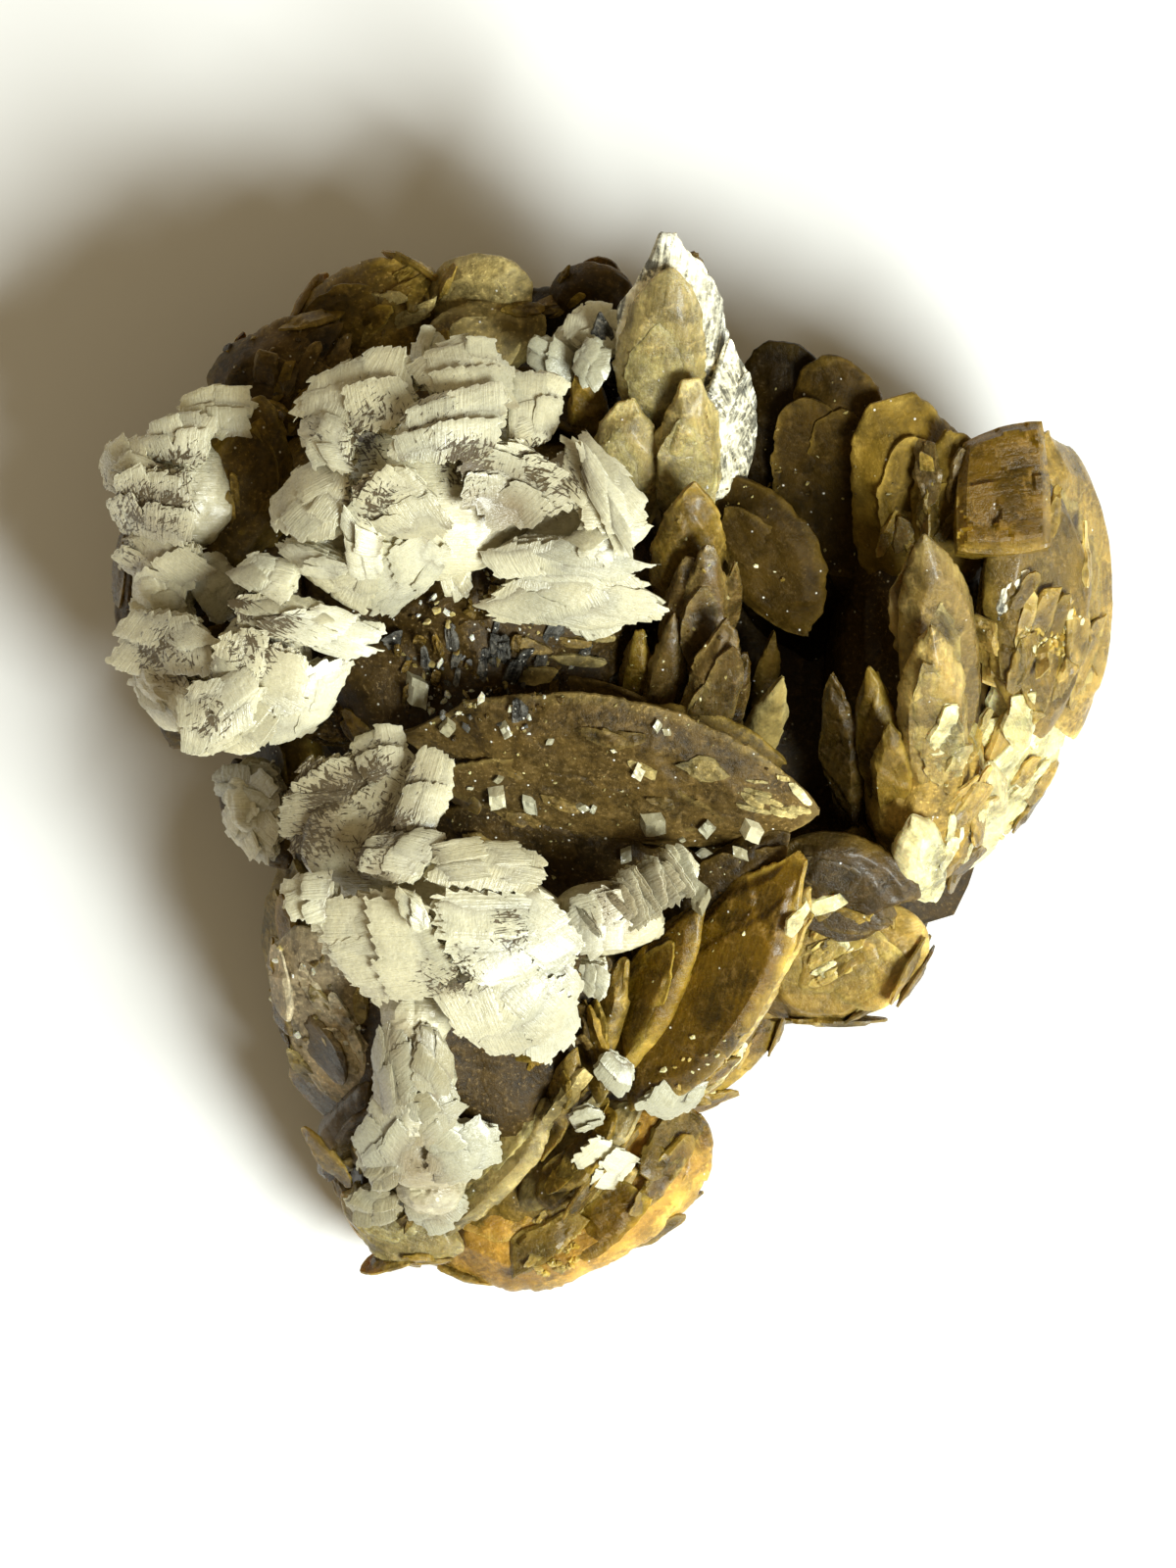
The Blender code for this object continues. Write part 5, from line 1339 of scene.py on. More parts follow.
def leaf_outline(q, r, reach_q, reach_r, seed):
    """Where a grid with q and r from -1 to 1 lies on a leaf: q is multiplied by sqrt(1 - k r^2 / 2), and
    r likewise, which rounds the corners, and the notches push the edges in."""
    cut_q = np.where(q > 0, notches(r, reach_r, seed), notches(r, reach_r, seed + 20))
    cut_r = np.where(r > 0, notches(q, reach_q, seed + 40), notches(q, reach_q, seed + 60))
    rounding = 0.12 + 0.30 * abs(dice(seed, 2))
    a = q * np.sqrt(1 - rounding * r**2 / 2) - np.sign(q) * cut_q * np.abs(q) ** 5
    b = r * np.sqrt(1 - rounding * q**2 / 2) - np.sign(r) * cut_r * np.abs(r) ** 5
    return a, b


# %% [markdown]
# The face of a leaf carries low steps near its edge, and ribs along it. The colour is lighter or darker
# in patches near the edge; the lighter patches at the very edge are painted light that comes through the
# thin rim. It is darker in the hollow where one leaf comes out from under another: a painted shade.

# %% Face of a leaf
STEPS = ((0.05, 0.74, 0.14, 1.6), (0.04, 0.88, 0.08, 1.0))  # height (mm), place, how ragged, and how coarse
RIB_HEIGHT, RIB_SIZE = 0.020, np.array([5.0, 0.7])  # mm, and how long and wide ribs are


def leaf_height(lift, a, b, flat, near, bend, seed):
    """Height of a leaf over its plate in mm: the lift, ribs and a gentle swell, less the steps, and a
    saddle that bends its sides up and its near end down."""
    height = lift[0] + lift[1] * np.clip((a + 1) / 2, 0, 1) ** 1.4
    ribs = RIB_HEIGHT * noise(flat / RIB_SIZE, 1.0, seed + 9) + 0.03 * noise(flat, 3.4, seed + 10)
    steps = 0
    for k, (drop, edge, ragged, coarse) in enumerate(STEPS):
        wavy = near + ragged * noise(flat, coarse, seed + 5 + k)
        steps = steps + drop * smooth_step(edge, edge + 0.02, wavy)
    return height + ribs - steps + bend * (0.45 * b**2 - 0.25 * (1 - a) ** 2 * (1 - b**2))


def leaf_colour(top, flat, near, base, tint, seed):
    """The tint at each point, multiplied by noise, by the patches near the edge, of which the lighter ones
    at the very edge are painted light, by a painted shade at the base, and by the spots where plates are
    clear."""
    shade = 0.97 + 0.07 * dice(seed, 3) + 0.06 * noise(flat, 2.5, seed + 4)
    patchy = 0.5 + 0.5 * noise(flat, 1.8, seed + 7)
    shade = shade - 0.12 * patchy * smooth_step(0.40, 0.86, near)
    # Painted light: lighter patches at the very edge stand in for light coming through the thin rim.
    shade = shade + 0.14 * (1 - patchy) * smooth_step(0.86, 1.0, near)
    # Painted shade: a shingle is darker at its base, in the hollow under the next leaf.
    shade = shade * (1 - 0.28 * base) * (1 - spots_at(top.reshape(-1, 3), CLEAR_SPOTS).reshape(near.shape))
    return np.concatenate([np.array(tint) * shade[..., None], np.ones((*near.shape, 1))], axis=-1)


# %% [markdown]
# Now the leaf itself, laid on its plate. A leaf that overlaps others like a shingle is clean at its far
# end; grains and stain keep to its near end, which lies in the hollow under the next leaf.

# %% One leaf
def leaf(plate, place, size, turn, lift, thick, step, seed, tint, shingle=0.0):
    """A thin body that follows part of a plate: a rectangle of half sizes `size` round `place` in the
    plate's own q and r, turned. It stands `lift` mm over the plate: an even part, and a part that grows
    towards its far end. `shingle` is 1 for a leaf that overlaps others, and 0 for a flat one. With
    near = max(|q|, |r|), its thickness is thick (1 - 0.78 near^3)."""
    p, facing, rise = plate
    reach_q = size[0] * np.linalg.norm(p[1] + p[2] - p[0] - p[3]) / 4
    reach_r = size[1] * np.linalg.norm(p[2] + p[3] - p[0] - p[1]) / 4
    evenly = [np.linspace(-1, 1, max(7, int(2 * reach / step))) for reach in (reach_q, reach_r)]
    q, r = np.meshgrid(*evenly, indexing="ij")
    near = np.maximum(np.abs(q), np.abs(r))
    a, b = leaf_outline(q, r, reach_q, reach_r, seed)
    cosine, sine = math.cos(turn), math.sin(turn)
    at_q = place[0] + size[0] * (a * cosine - b * sine)
    at_r = place[1] + size[1] * (a * sine + b * cosine)
    u, v = a * reach_q, b * reach_r
    flat = np.stack([u, v], axis=-1)
    height = leaf_height(lift, a, b, flat, near, 0.10 * min(reach_q, reach_r) * shingle, seed)
    top = on_plate(p, rise, facing, at_q, at_r) + height[..., None] * facing
    bottom = top - (thick * (1 - 0.78 * near**3))[..., None] * facing
    points, faces = slab(top, bottom)
    tip, base = shingle * smooth_step(-0.45, 0.75, a), shingle * smooth_step(-0.25, -0.95, a)
    colour = leaf_colour(top, flat, near, base, tint, seed)
    layers = both_sides({"tint": colour, "surface": placed(u, v, 7.0 * dice(seed, 6))})
    clean, foot = np.tile(tip.ravel(), 2), np.tile(base.ravel(), 2)
    layers["specks"] = np.clip(spots_at(points, SPECK_SPOTS) * (1.1 - 0.45 * clean) + 0.30 * foot, 0, 1)
    layers["stain"] = np.maximum(spots_at(points, STAIN_SPOTS) * (1 - 0.55 * clean), 0.60 * foot)
    return points, [faces], layers


# %% [markdown]
# Thinner leaves lie under each plate, turned and shifted a little, so that its edge shows as a pile, and
# smaller ones overlap on top of it like shingles. A sculpted cube would look much the same, but only by
# hand, once for each of the eighty plates.

# %% One plate
PLATE_STEP = 0.285  # mm between points on a plate
UNDER_SHRINK, UNDER_SHIFT = 0.05, 0.05  # shares of the half size, for each leaf under the top one
SHINGLE_THICK, SHINGLE_LIFT = 0.20, 0.50  # mm
SHINGLE_ROWS = [  # place along and across the way they lean, half length and half width
    (-0.44, -0.36, 0.54, 0.54), (-0.36, 0.46, 0.50, 0.48),
    (0.34, 0.34, 0.56, 0.52), (0.44, -0.40, 0.48, 0.50),
]


def under_leaves(plate, gap, number, step, seed, tint):
    """Leaves that lie under a plate one gap apart, each a little smaller, shifted and turned."""
    bodies = []
    for k in range(1, number + 1):
        own = seed + 101 * k
        place = UNDER_SHIFT * dice(own, 1), UNDER_SHIFT * dice(own, 2)
        size = [1.0 - UNDER_SHRINK * k + 0.03 * dice(own, n) for n in (3, 4)]
        turn, lift = 0.06 * dice(own, 5), (-k * gap, 0)
        bodies.append(leaf(plate, place, size, turn, lift, 1.1 * gap, 1.7 * step, own, tint))
    return bodies


def shingles(plate, rows, heading, step, seed, tint):
    """Small leaves on a plate that all lean about the same way and rise towards their far ends."""
    cosine, sine = math.cos(heading), math.sin(heading)
    bodies = []
    for k, (ahead, aside, long, wide) in enumerate(rows):
        own = seed + 211 * (k + 1)
        ahead, aside = ahead + 0.10 * dice(own, 1), aside + 0.12 * dice(own, 2)
        turn = heading + 0.45 * aside + 0.25 * dice(own, 6)
        size = long * (1 + 0.25 * dice(own, 3)), wide * (1 + 0.25 * dice(own, 4))
        lift = 0.0, SHINGLE_LIFT + 0.34 * dice(own, 5)
        place = ahead * cosine - aside * sine, ahead * sine + aside * cosine
        build = SHINGLE_THICK, 0.85 * step, own, np.array(tint) * (1 + 0.10 * dice(own, 7))
        bodies.append(leaf(plate, place, size, turn, lift, *build, shingle=1.0))
    return bodies


def plate_bodies(corners, rise, thick, tint, seed, step=PLATE_STEP, under=3, scales=4, heading=None):
    """The bodies of one plate: its top leaf, leaves under it, and shingles on it."""
    p, facing = facing_of(corners)
    plate = (p, facing, rise)
    gap = thick / (under + 1)
    heading = math.pi * dice(seed, 9) if heading is None else heading
    top = leaf(plate, (0, 0), (1, 1), 0, (0, 0), 0.9 * gap, step, seed, tint)
    below = under_leaves(plate, gap, under, step, seed, tint)
    return [top, *below, *shingles(plate, SHINGLE_ROWS[:scales], heading, step, seed, tint)]


# %% [markdown]
# A cluster is a handful of rough roots with plates on them. Its plates take turns at a few whites: warm
# ones where they are thick, and grey ones where they are thin and clear.

# %% Clusters
CREAM, IVORY = (0.71, 0.65, 0.43), (0.78, 0.73, 0.51)  # linear red, green and blue
# The second of these, a darker cream, is partly stain and partly painted shade.
CLEAR, SHADE_AND_STAIN = (0.46, 0.435, 0.30), (0.35, 0.31, 0.185)
ROOT_SINK, ROOT_SHARE = (0, 0, 1.2), 0.80  # mm under its place in the table, and share of its size there


def dolomite_piece(name, bodies, nodes, sharp=PLATE_EDGE):
    """A piece of dolomite, in place of the named nodes."""
    make_piece(name, bodies, PEARLY, nodes, sharp)


def lean_away(corners, middle):
    """The turn, in a plate's own q and r, that points away from the middle of its cluster."""
    p, _ = facing_of(corners)
    out = p.mean(axis=0) - middle
    along, beside = p[1] + p[2] - p[0] - p[3], p[2] + p[3] - p[0] - p[1]
    return math.atan2(out @ beside / np.linalg.norm(beside), out @ along / np.linalg.norm(along))


def cluster_bodies(roots, plates, thick, seed, tints=(CREAM, IVORY)):
    """The bodies of a cluster: rough roots, and plates that take turns at the tints, with shingles that
    lean away from its middle."""
    bodies = []
    for count, (centre, radii) in enumerate(roots):
        centre, radii = np.array(centre) - ROOT_SINK, np.array(radii) * ROOT_SHARE
        points, faces, layers = lump(centre, radii, CREAM, seed + count, ROOT_RINGS)
        layers["specks"], layers["stain"] = spots_at(points, SPECK_SPOTS), spots_at(points, STAIN_SPOTS)
        bodies.append((points, faces, layers))
    middle = np.mean([np.mean(corners, axis=0) for *corners, _ in plates], axis=0)
    for count, (*corners, rise) in enumerate(plates):
        own = seed + 997 * count
        heading = lean_away(corners, middle) + 0.9 * dice(own, 12)
        bodies += plate_bodies(corners, rise, thick, tints[count % len(tints)], own, heading=heading)
    return bodies


# %% [markdown]
# The crown is the largest cluster, a dome of broad plates above the rosette's left side.

# %% Crown
CROWN_ROOTS = [
    ((-17, 28, 42), (13, 11, 6.5)),
    ((-3, 24.5, 41.5), (6.5, 7.5, 5)),
    ((-28.5, 25, 40), (4.5, 8, 4)),
]
CROWN_PLATES = [
    ((-33, 35, 42), (-27, 41.2, 43), (-18.8, 42, 44), (-20, 33.2, 49), 1),
    ((-20.4, 41, 41), (-18.2, 45, 42), (-15.6, 42.8, 42), (-17.8, 38.4, 45), 0.3),
    ((-21.3, 39.7, 45), (-14.6, 44.2, 45), (-8.6, 40.4, 44), (-11, 34.2, 50), 1.2),
    ((-22.4, 30.2, 49), (-20, 37, 49), (-8.8, 38.4, 48), (-11.6, 30.4, 52), 1.4),
    ((-11, 40.2, 43), (-4.2, 40, 41), (-4.6, 34, 43), (-9, 31, 49), 0.8),
    ((-31.6, 32.6, 43), (-28.8, 36.4, 44), (-25.4, 33.6, 47), (-26, 28.6, 47), 0.8),
    ((-34.9, 24, 41), (-31.4, 31, 42), (-25.2, 29.4, 47), (-27.4, 22.2, 46), 1.4),
    ((-34.4, 23, 39), (-30, 22.4, 43), (-24.8, 19.6, 45), (-29.6, 18.6, 41), 0.6),
    ((-31.2, 20.4, 40), (-25, 20.6, 44), (-22.6, 19.8, 44), (-24.2, 14.8, 38), 0.8),
    ((-27, 26.4, 47), (-23.4, 24.4, 48), (-22.2, 19.6, 44), (-25.4, 18.4, 43), 0.8),
    ((-26.6, 27.4, 48), (-20.2, 31.2, 51), (-14.5, 22.6, 49), (-23.4, 23, 46), 0.6),
    ((-23.6, 23, 45), (-14.6, 22.4, 46), (-18.4, 17.4, 39), (-24.4, 14.4, 37), 0.8),
    ((-16.8, 20.6, 41), (-13.6, 20.3, 41), (-13.8, 17, 39), (-16.4, 16.8, 39), 0.3),
    ((-15.4, 30.2, 50), (-8.8, 33.4, 50), (-1.8, 26.4, 48), (-11.8, 22.8, 46), -1),
    ((-5.2, 34.2, 46), (1.8, 30.8, 46), (4.8, 24, 46), (-2, 22.6, 49), 0.8),
    ((-3.4, 33.4, 49), (-0.8, 31, 49), (3.4, 23.6, 49), (0.4, 22.2, 49), 0.4),
    ((-3, 24.8, 47), (4.6, 26.4, 46), (2.4, 20.6, 46), (-3, 20.8, 48), 0.8),
    ((-12, 19, 43), (-10.8, 22.8, 46), (2.4, 22.6, 48), (3.2, 18, 45), 1),
    ((-12.4, 14.2, 41), (-10.6, 18.8, 44), (2.4, 20, 46), (8.2, 14.4, 43), 0.8),
    ((-5, 15.4, 40), (1.8, 16.8, 42), (1.6, 13.4, 39), (-3, 13, 38), 0.3),
]

dolomite_piece("crown_plates", cluster_bodies(CROWN_ROOTS, CROWN_PLATES, 2.6, 11), ["dolomite_crown"])

# %% [markdown]
# Plates and fans of plates line the left edge.

# %% Left edge
LEFT_ROOTS = [
    ((-42.6, 28.6, 31), (6, 8, 4)),
    ((-45.2, 20, 28.5), (4.5, 6.5, 4)),
    ((-35, 10.5, 35), (6, 7.5, 5)),
    ((-43.6, 10, 31), (6, 5, 4)),
]
LEFT_PLATES = [
    ((-45.2, 36, 31), (-40, 39.6, 32), (-35, 37.2, 33), (-39, 33, 34), 0.8),
    ((-48.4, 32.6, 31), (-44.8, 36.4, 33), (-39.4, 35.8, 35), (-41.4, 30, 36), 1),
    ((-51.9, 28, 27), (-51.6, 33.4, 28), (-47, 34.2, 32), (-46.6, 28, 34), 1),
    ((-50.6, 24, 28), (-50, 31, 32), (-42.2, 30.4, 36), (-42.6, 22, 34), 0.9),
    ((-51, 20.6, 26), (-48.8, 24.6, 30), (-40.8, 22.4, 34), (-42.8, 16.8, 31), 0.9),
    ((-44, 21.2, 32), (-39.2, 21.8, 32), (-36, 16, 30), (-40.4, 14, 28), 0.8),
    ((-49.6, 17.4, 26), (-44, 19, 31), (-42, 14.6, 30), (-47.6, 12.6, 27), 0.6),
    ((-38.9, 19, 37), (-35.8, 22.2, 38), (-30.6, 20.6, 38), (-31.8, 16, 40), 1),
    ((-38, 14, 38), (-37.4, 17.8, 39), (-28.2, 17, 39), (-27.2, 13, 40), 0.9),
    ((-35.4, 13.2, 40), (-31.8, 16.4, 41), (-21.6, 14.6, 37), (-24.4, 10.8, 37), 0.9),
    ((-40.4, 8, 37), (-39.4, 14.4, 39), (-29.6, 11.4, 40), (-31.6, 4, 36), 1),
    ((-50.2, 9.8, 28), (-49.4, 16.2, 31), (-41.8, 15.4, 36), (-38.8, 9, 37), 0.9),
    ((-50, 9.4, 27), (-42.8, 10.4, 34), (-40.2, 4, 33), (-45.4, 3.6, 27), 0.9),
    ((-44, 4, 36), (-42.8, 8.8, 38), (-33.2, 8.4, 40), (-40.4, 0.2, 36), 0.8),
    ((-42.6, 2, 34), (-34, 8.6, 38), (-33.2, 2.6, 36), (-37.6, 1.2, 34), 0.5),
    ((-35.4, 2.2, 35), (-32.8, 9.4, 39), (-24.8, 11.4, 37), (-29.8, 3, 33), 0.8),
]

dolomite_piece("left_plates", cluster_bodies(LEFT_ROOTS, LEFT_PLATES, 2.3, 5011), ["dolomite_left"])

# %% [markdown]
# A shelf of wide plates covers the lower left. Beside it, small plates stand upright in a ridge, side by
# side like books.

# %% Front shelf
FRONT_ROOTS = [
    ((-24, -7.5, 37), (8.5, 8, 5)),
    ((-14, -17, 37), (12, 9, 6)),
    ((0, -15.5, 35.5), (7.5, 4.5, 3.6)),
]
FRONT_PLATES = [
    ((-33.4, -10, 34), (-32.2, 1.2, 36), (-18, 1.8, 38), (-21.6, -8, 42), 0.9),
    ((-26.4, 2.6, 36), (-21.8, 4.4, 36), (-18.6, 0.2, 38), (-24.4, -2, 40), 0.6),
    ((-19.6, 1.8, 39), (-15, 1.2, 39), (-15.8, -5, 41), (-22, -8, 43), 0.7),
    ((-26.4, -9.8, 43), (-22.8, -6.4, 43), (-15.8, -6.8, 43), (-19.6, -12.2, 46), 0.9),
    ((-19, -11.8, 45), (-16.8, -7.2, 44), (-5.8, -8.6, 43), (-7.2, -13, 46), 0.9),
    ((-33.2, -14.4, 38), (-31.6, -10.6, 39), (-27, -11.6, 42), (-28.6, -16.6, 41), 0.7),
    ((-31.8, -15, 39), (-20, -11.2, 46), (-13.6, -22, 45), (-23.8, -24.8, 38), 1.2),
    ((-18.8, -12, 46), (-4.6, -12.6, 45), (-2, -20, 42), (-14.6, -22, 46), 1.2),
    ((-16.4, -27, 40), (-14, -20.2, 45), (-2.2, -20.8, 41), (-6.8, -30.4, 37), 1.4),
    ((-9, -21, 42), (-3, -18.6, 42), (-2.6, -29, 36), (-8, -30.2, 37), 0.7),
    ((-21.6, -12.4, 47), (-19.2, -13, 48), (-17.6, -16.4, 47), (-19.6, -16.9, 47), 0.2),
    ((-4.8, -15, 39), (0, -11.6, 39), (3.4, -16.2, 38), (-1.8, -20.4, 38), 0.8),
    ((5.6, -9.2, 37.5), (7.4, -7.7, 38), (9.8, -10.8, 38), (8, -13, 37.5), 0.4),
    ((-2.9, -20, 37), (0.4, -20.2, 37), (0.2, -23.8, 35), (-2.2, -23.6, 35), 0.3),
]
CORNER_SIDES = ((-1, -1), (-1, 1), (1, 1), (1, -1))  # side across and up of each corner of a plate


def upright_plates(start, end, number, half, lean):
    """Rows of four corners and a rise for plates that stand side by side from start to end: each spans
    `half` mm to both sides of that line, rises `lean` degrees over it, and is turned a little."""
    start, end = np.array(start, float), np.array(end, float)
    ahead = (end - start) / np.linalg.norm(end - start)
    beside = np.array([-ahead[1], ahead[0], 0.0]) / np.linalg.norm(ahead[:2])
    rows = []
    for k in range(number):
        turn, tilt = 0.34 * dice(number, k), math.radians(lean + 22 * dice(number, k + 30))
        across = beside + ahead * turn
        up = ahead * math.cos(tilt) + np.cross(ahead, beside) * math.sin(tilt)
        share = (k + 0.5 + 0.4 * dice(number, k + 45)) / number
        middle = start + (end - start) * share + 0.55 * up * dice(number, k + 60)
        wide, high = half * (0.80 + 0.28 * dice(number, k + 90)), 0.62 * half
        corners = [middle + across * wide * i + up * high * j for i, j in CORNER_SIDES]
        rows.append((*corners, 0.25))
    return rows


RIDGE_PLATES = upright_plates((-2.6, -16.4, 38.4), (8.4, -10.2, 38.2), 13, 3.0, 55)
front_bodies = cluster_bodies(FRONT_ROOTS, FRONT_PLATES, 2.4, 10011)
for count, (*corners, rise) in enumerate(RIDGE_PLATES):
    tint = (CLEAR, CREAM, IVORY)[count % 3]
    front_bodies += plate_bodies(corners, rise, 0.55, tint, 30011 + 57 * count, step=0.24, under=1, scales=0)
dolomite_piece("front_plates", front_bodies, ["dolomite_front"])

# %% [markdown]
# A pillar of narrower, greyer plates runs down from the shelf to the lower left corner. Every other
# plate takes a darker tint, partly stain and partly painted shade.

# %% Pillar and corner
PILLAR_ROOTS = [
    ((-19.5, -25.5, 35), (4.5, 5, 4.5)),
    ((-19.6, -32, 31), (5, 7.5, 4)),
    ((-18, -39.6, 25.5), (7, 5, 3.6)),
    ((-18, -43.6, 21.5), (4.5, 3.5, 4.5)),
]
PILLAR_PLATES = [
    ((-24.2, -35, 31), (-23.4, -25.6, 36), (-18.8, -25.4, 37), (-19.6, -35, 35), 0.9),
    ((-20, -33, 36), (-19.4, -25.4, 38), (-16.4, -27.2, 37), (-15.2, -34, 33), 0.9),
    ((-26.2, -41.8, 25), (-24.2, -32.8, 31), (-18.6, -33.8, 34), (-20.6, -43.4, 27), 0.9),
    ((-20, -39.8, 30), (-19.4, -31.8, 34), (-14.8, -32.8, 32), (-15.2, -37, 30), 0.8),
    ((-18.9, -42.4, 27), (-17.8, -35.8, 30), (-10.2, -36.8, 27), (-12.6, -43, 25), 0.9),
    ((-25.4, -42, 26), (-21.4, -38.6, 29), (-20.6, -42, 28), (-23.2, -44.4, 25), 0.5),
    ((-21.4, -46, 19), (-16.8, -43.2, 22), (-13.6, -45.6, 20), (-17.8, -49, 17), 0.6),
    ((-27.8, -45, 17), (-22.8, -43.6, 20), (-20.6, -46.2, 19), (-24.8, -48.4, 15), 0.5),
]

pillar_bodies = cluster_bodies(PILLAR_ROOTS, PILLAR_PLATES, 2.4, 12011, (CLEAR, SHADE_AND_STAIN))
dolomite_piece("pillar_plates", pillar_bodies, ["dolomite_front"])

# %% [markdown]
# Three small clusters: behind the crown, and on the left side below the fans.

# %% Small clusters
BACK_ROOTS = [
    ((-2.4, 42.8, 31.5), (4.5, 3.6, 3)),
]
BACK_PLATES = [
    ((-8, 44.4, 33), (-4, 43.6, 34), (-3.2, 38.8, 34), (-7.8, 40.4, 33), 0.6),
    ((-4.8, 43.8, 34), (-2.8, 47.6, 33), (2.4, 46.6, 33), (1, 41, 35), 0.7),
    ((-3.6, 42.2, 36), (-0.6, 44.4, 36), (0.8, 40, 36), (-2.6, 38.2, 36), 0.5),
]
HEEL_ROOTS = [
    ((-36, -3.2, 25), (4, 5, 3.2)),
]
HEEL_PLATES = [
    ((-41.4, -0.4, 22), (-33.8, 0.8, 28), (-33, -5, 28), (-39.4, -4.4, 23), 0.7),
    ((-39.9, -6.8, 21), (-38.9, -2.2, 24), (-33.2, -4, 28), (-34.4, -11, 24), 0.7),
]
FLANK_ROOTS = [
    ((-32.6, -23.4, 18), (2.4, 3.6, 3)),
]
FLANK_PLATES = [
    ((-34.8, -24.8, 20), (-33.3, -19.3, 24), (-30.6, -20.4, 25), (-31, -26.8, 21), 0.6),
]

for name, roots, plates, seed in (
    ("back", BACK_ROOTS, BACK_PLATES, 15011),
    ("heel", HEEL_ROOTS, HEEL_PLATES, 16011),
    ("flank", FLANK_ROOTS, FLANK_PLATES, 17011),
):
    bodies = cluster_bodies(roots, plates, 2.0, seed, (CLEAR, CREAM))
    dolomite_piece(f"{name}_plates", bodies, [f"dolomite_{name}"], sharp=SOFT_EDGE)

# %% [markdown]
# Four lone plates lie on the blades at the lower middle.

# %% Lone plates
FLAKES = {
    "dolomite_flake_cream": ((-3.9, -40.8, 20), (-0.8, -38, 22), (4.1, -41.2, 19), (-0.3, -44.6, 17), 0.5),
    "dolomite_flake_grey": ((-1.7, -31.3, 29), (0.7, -29, 30), (3.3, -31.4, 29), (1.8, -34.9, 27), 0.5),
    "dolomite_flake_long": ((2.2, -35, 25), (9.8, -31, 27), (10.3, -34.4, 24), (6.8, -36.9, 22), 0.4),
    "dolomite_flake_small": ((-4.2, -36.3, 26), (-1.6, -34.9, 27), (0.4, -36.2, 26), (-2.4, -38.2, 24), 0.4),
}
for count, (name, (*corners, rise)) in enumerate(FLAKES.items()):
    tint = IVORY if "cream" in name else CLEAR
    bodies = plate_bodies(corners, rise, 1.2, tint, 20011 + 300 * count, step=0.2, under=1, scales=2)
    dolomite_piece(name.replace("dolomite_", "lone_"), bodies, [name], sharp=SOFT_EDGE)

# %% [markdown]
# ## Rhombs
#
# Dolomite also grows as single rhombs: skewed boxes whose corner angles are 73 and 107 degrees. A line
# dropped onto the blades finds where each one stands and which way it faces. A particle system could
# scatter them, but these have known places.

# %% Rhombs on the blades
RHOMB_COSINE = 0.29  # cosine of the sharp corner, 73 degrees
RHOMB_STAND = 0.12  # how far the centre stands above the blade, as a share of the edge
RHOMB_SHARE = 0.84  # of the edge in the table, which is that of the frame's solid
RHOMB_GRID = np.linspace(-0.5, 0.5, 7)
RHOMBS = {  # place, edge (mm), turn (degrees)
    "rhomb_tall": ((-19.4, 8), 3.4, 8),
    "rhomb_clear": ((-11.1, -2.8), 2.6, 70),
    "rhomb_left": ((-16.1, 4.3), 1.9, 30),
    "rhomb_pale": ((-10.2, 3.8), 1.7, 55),
    "rhomb_mid": ((3.5, -0.3), 1.6, 20),
    "rhomb_low": ((4.8, -5.6), 2.4, 75),
    "rhomb_bright": ((10.4, -6.2), 2.3, 35),
    "rhomb_amber": ((14.8, -6.2), 2.6, 10),
    "rhomb_edge": ((9.8, -13.6), 2.4, 15),
}


def rhomb(spot, edge, turn, tint, seed):
    """A skewed box on the blade under a spot. Its corners are the eight sums of plus or minus half of
    three edges, of which two lie in the face that it stands on; noise chips its top."""
    place, out = dropped(*spot)
    across = np.cross(out, [math.sin(turn), math.cos(turn), 0.2])
    across /= np.linalg.norm(across)
    along = np.cross(across, out)
    skew = along * RHOMB_COSINE + across * math.sqrt(1 - RHOMB_COSINE**2)
    rise = out * (0.62 + 0.16 * dice(seed, 3)) + along * 0.45 * dice(seed, 5) + across * 0.45 * dice(seed, 6)
    q, r = np.meshgrid(RHOMB_GRID, RHOMB_GRID, indexing="ij")
    first, second = along * (0.90 + 0.22 * dice(seed, 1)), skew * (0.80 + 0.15 * dice(seed, 2))
    level = (q[..., None] * first + r[..., None] * second) * edge
    chip = 0.11 * edge * noise(np.stack([q, r], axis=-1) * 3.4, 1.0, seed)[..., None] * out
    middle = place + out * RHOMB_STAND * edge
    points, faces = slab(middle + level + rise * edge / 2 + chip, middle + level - rise * edge / 2)
    count = len(points)
    everywhere = {"tint": (*tint, 1.0), "surface": (0.0, 0, seed, 1)}
    layers = {key: np.tile(value, (count, 1)) for key, value in everywhere.items()}
    return points, [faces], {**layers, "specks": np.zeros(count), "stain": np.zeros(count)}


for count, (name, (spot, edge, turn)) in enumerate(RHOMBS.items()):
    # Every third rhomb takes the darker tint, partly stain and partly painted shade.
    tint = (CLEAR, CREAM, SHADE_AND_STAIN)[count % 3]
    body = rhomb(spot, RHOMB_SHARE * edge, math.radians(turn), tint, 40 + count)
    dolomite_piece(name + "_crystal", [body], [name])

# %% [markdown]
# A few more rhombs, too small to be solids of their own, are dusted over the same blades.

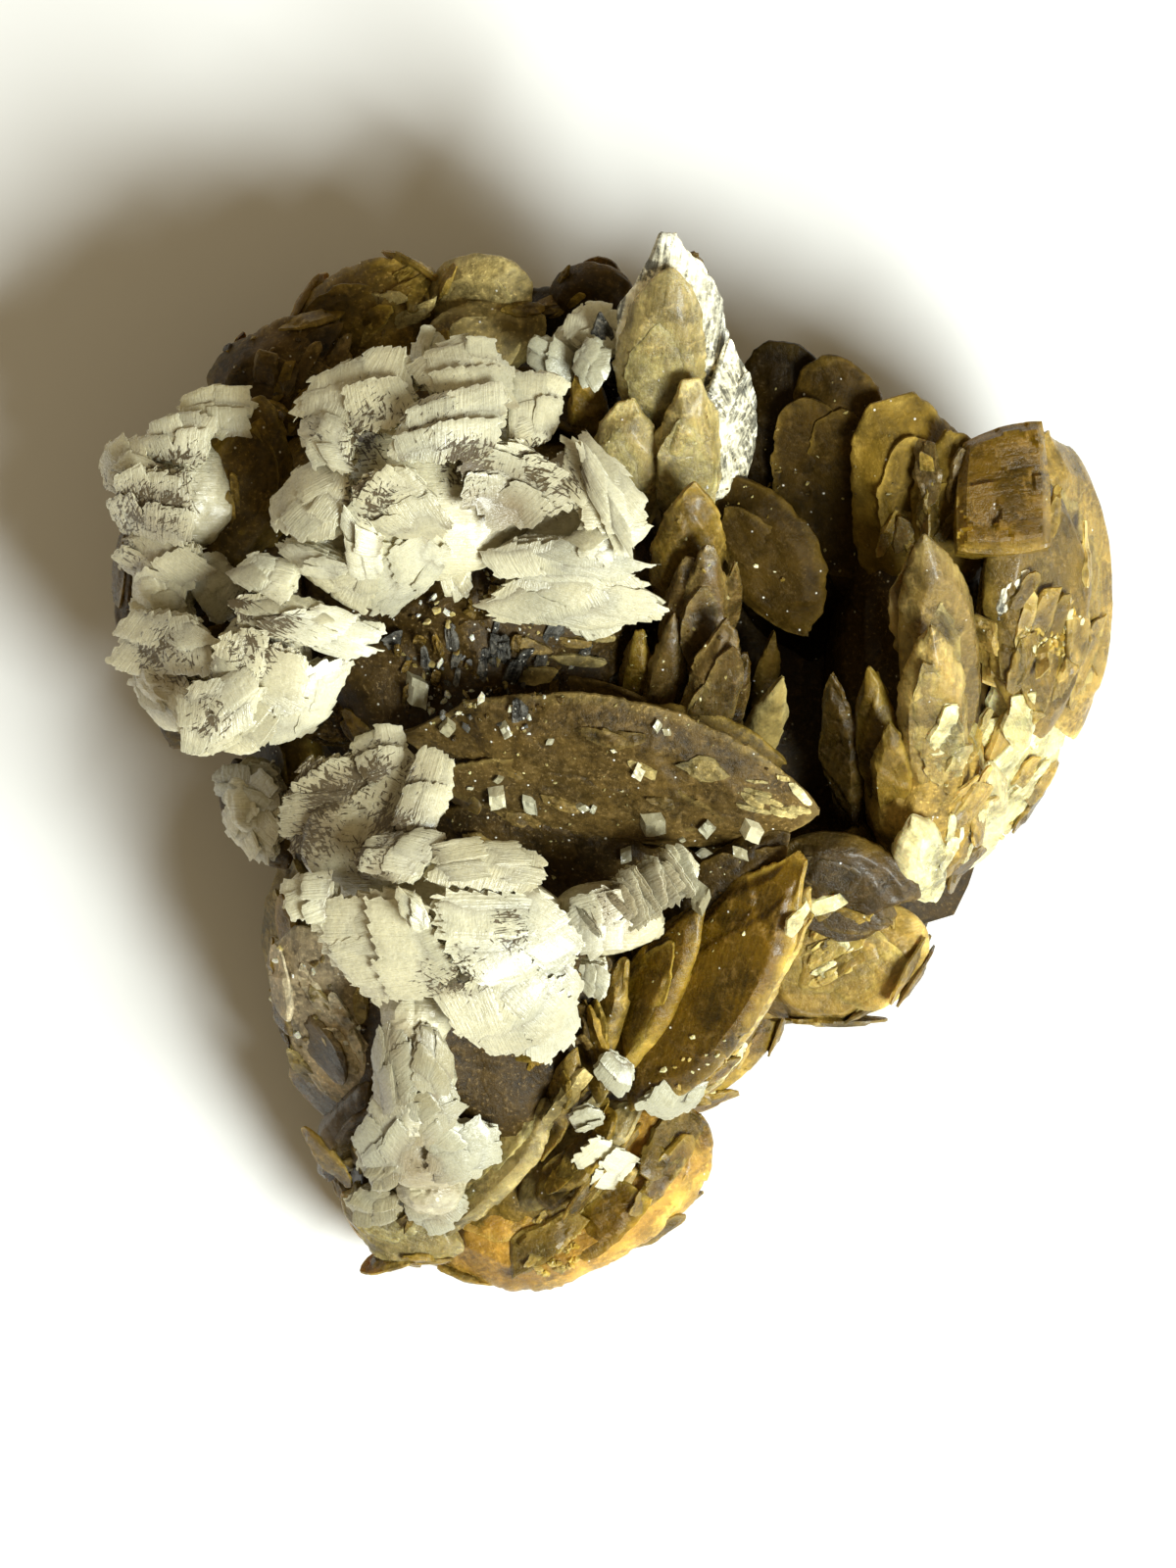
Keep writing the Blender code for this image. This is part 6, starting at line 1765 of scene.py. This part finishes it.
# %% Dust of small rhombs
SMALL_RHOMBS = [  # x, y, edge (mm)
    (-7.7, -3.7, 1.5), (-10.9, -1.2, 0.9), (-13.8, -2.2, 0.6), (-1.2, -4.3, 0.7), (-2.5, -4.1, 1.2),
    (-14.9, 5.5, 0.6), (5.2, 4, 0.9), (6.2, 3.6, 0.8), (-9.2, -8.1, 0.9), (-12.5, -9.4, 0.9),
    (13.9, -8.9, 1.5), (10.3, -9.2, 1.7), (2.1, -8.9, 1.5), (7.8, -7.4, 0.7), (0.8, 1.6, 0.6),
    (-5.6, 2.6, 0.6),
]
RHOMB_TURN = 2.2  # radians from one small rhomb to the next
small_rhombs = []
for count, (x, y, edge) in enumerate(SMALL_RHOMBS):
    # One small rhomb in three takes the darker tint, partly stain and partly painted shade.
    tint = (CLEAR, SHADE_AND_STAIN, CREAM)[count % 3]
    small_rhombs.append(rhomb((x, y), edge, RHOMB_TURN * count, tint, 80 + count))
dolomite_piece("small_rhombs", small_rhombs, [])

# %% [markdown]
# ## Floor, light and camera
#
# The specimen lies on a sheet of white paper. The sheet is a stage, not a part of the object, so one
# large face is enough.

# %% Floor
FLOOR_HALF = 400.0  # mm
PAPER_WHITE, PAPER_ROUGH = (0.84, 0.83, 0.82, 1), 0.9
floor_mesh = bpy.data.meshes.new("floor")
corners = [(x * FLOOR_HALF * MM, y * FLOOR_HALF * MM, 0) for x, y in ((-1, -1), (1, -1), (1, 1), (-1, 1))]
floor_mesh.from_pydata(corners, [], [(0, 1, 2, 3)])
floor = bpy.data.objects.new("floor", floor_mesh)
scene.collection.objects.link(floor)
paper = bpy.data.materials.new("paper")
paper.use_nodes = True
paper_shader = paper.node_tree.nodes["Principled BSDF"]
paper_shader.inputs["Base Color"].default_value = PAPER_WHITE
paper_shader.inputs["Roughness"].default_value = PAPER_ROUGH
floor_mesh.materials.append(paper)
print("floor", 2 * FLOOR_HALF, "mm wide")

# %% [markdown]
# One large soft lamp stands at the lower right of the view, so that the shadow falls to the upper left,
# and the room adds a little warm light from all sides. A sky texture would do that too, but its colour
# is harder to set.

# %% Lamp and room
KEY = (0.72, -0.55, 1.0)  # from the specimen towards the lower right and up
KEY_DISTANCE, KEY_SIZE, KEY_POWER = 0.9, 0.34, 15.0  # m, m, W
KEY_TINT, ROOM_TINT, ROOM_STRENGTH = (0.93, 1.0, 0.98), (1.0, 0.80, 0.48, 1), 0.29
LAMP_AIM = Vector((0, 0, 0.02))  # m, the point that the lamp faces

lamp = bpy.data.lights.new("key_lamp", "AREA")
lamp.size, lamp.energy, lamp.color = KEY_SIZE, KEY_POWER, KEY_TINT
key_lamp = bpy.data.objects.new("key_lamp", lamp)
direction = Vector(KEY).normalized()
key_lamp.location = direction * KEY_DISTANCE + LAMP_AIM
key_lamp.rotation_euler = direction.to_track_quat("Z", "Y").to_euler()
scene.collection.objects.link(key_lamp)
scene.world = bpy.data.worlds.new("room")
scene.world.use_nodes = True
background = scene.world.node_tree.nodes["Background"]
background.inputs["Color"].default_value = ROOM_TINT
background.inputs["Strength"].default_value = ROOM_STRENGTH
print("lamp at", [round(value, 3) for value in key_lamp.location])

# %% [markdown]
# The camera looks straight down. A long lens far away keeps the near crystals from looking larger.

# %% Camera
VIEW_HEIGHT, VIEW_MIDDLE = 160.0, (-1.8, -1.8)  # mm of the specimen's plane that the picture shows
CAMERA_HEIGHT, FOCUS_HEIGHT = 900.0, 35.0  # mm
SENSOR = 36.0  # mm
lens = bpy.data.cameras.new("camera")
lens.sensor_fit, lens.sensor_width, lens.sensor_height = "AUTO", SENSOR, SENSOR
lens.lens = SENSOR * (CAMERA_HEIGHT - FOCUS_HEIGHT) / VIEW_HEIGHT
lens.clip_start, lens.clip_end = 0.05, 10.0
camera = bpy.data.objects.new("camera", lens)
camera.location = (VIEW_MIDDLE[0] * MM, VIEW_MIDDLE[1] * MM, CAMERA_HEIGHT * MM)
scene.collection.objects.link(camera)
scene.camera = camera
scene.view_settings.view_transform = "Standard"
print("lens", round(lens.lens, 1), "mm")
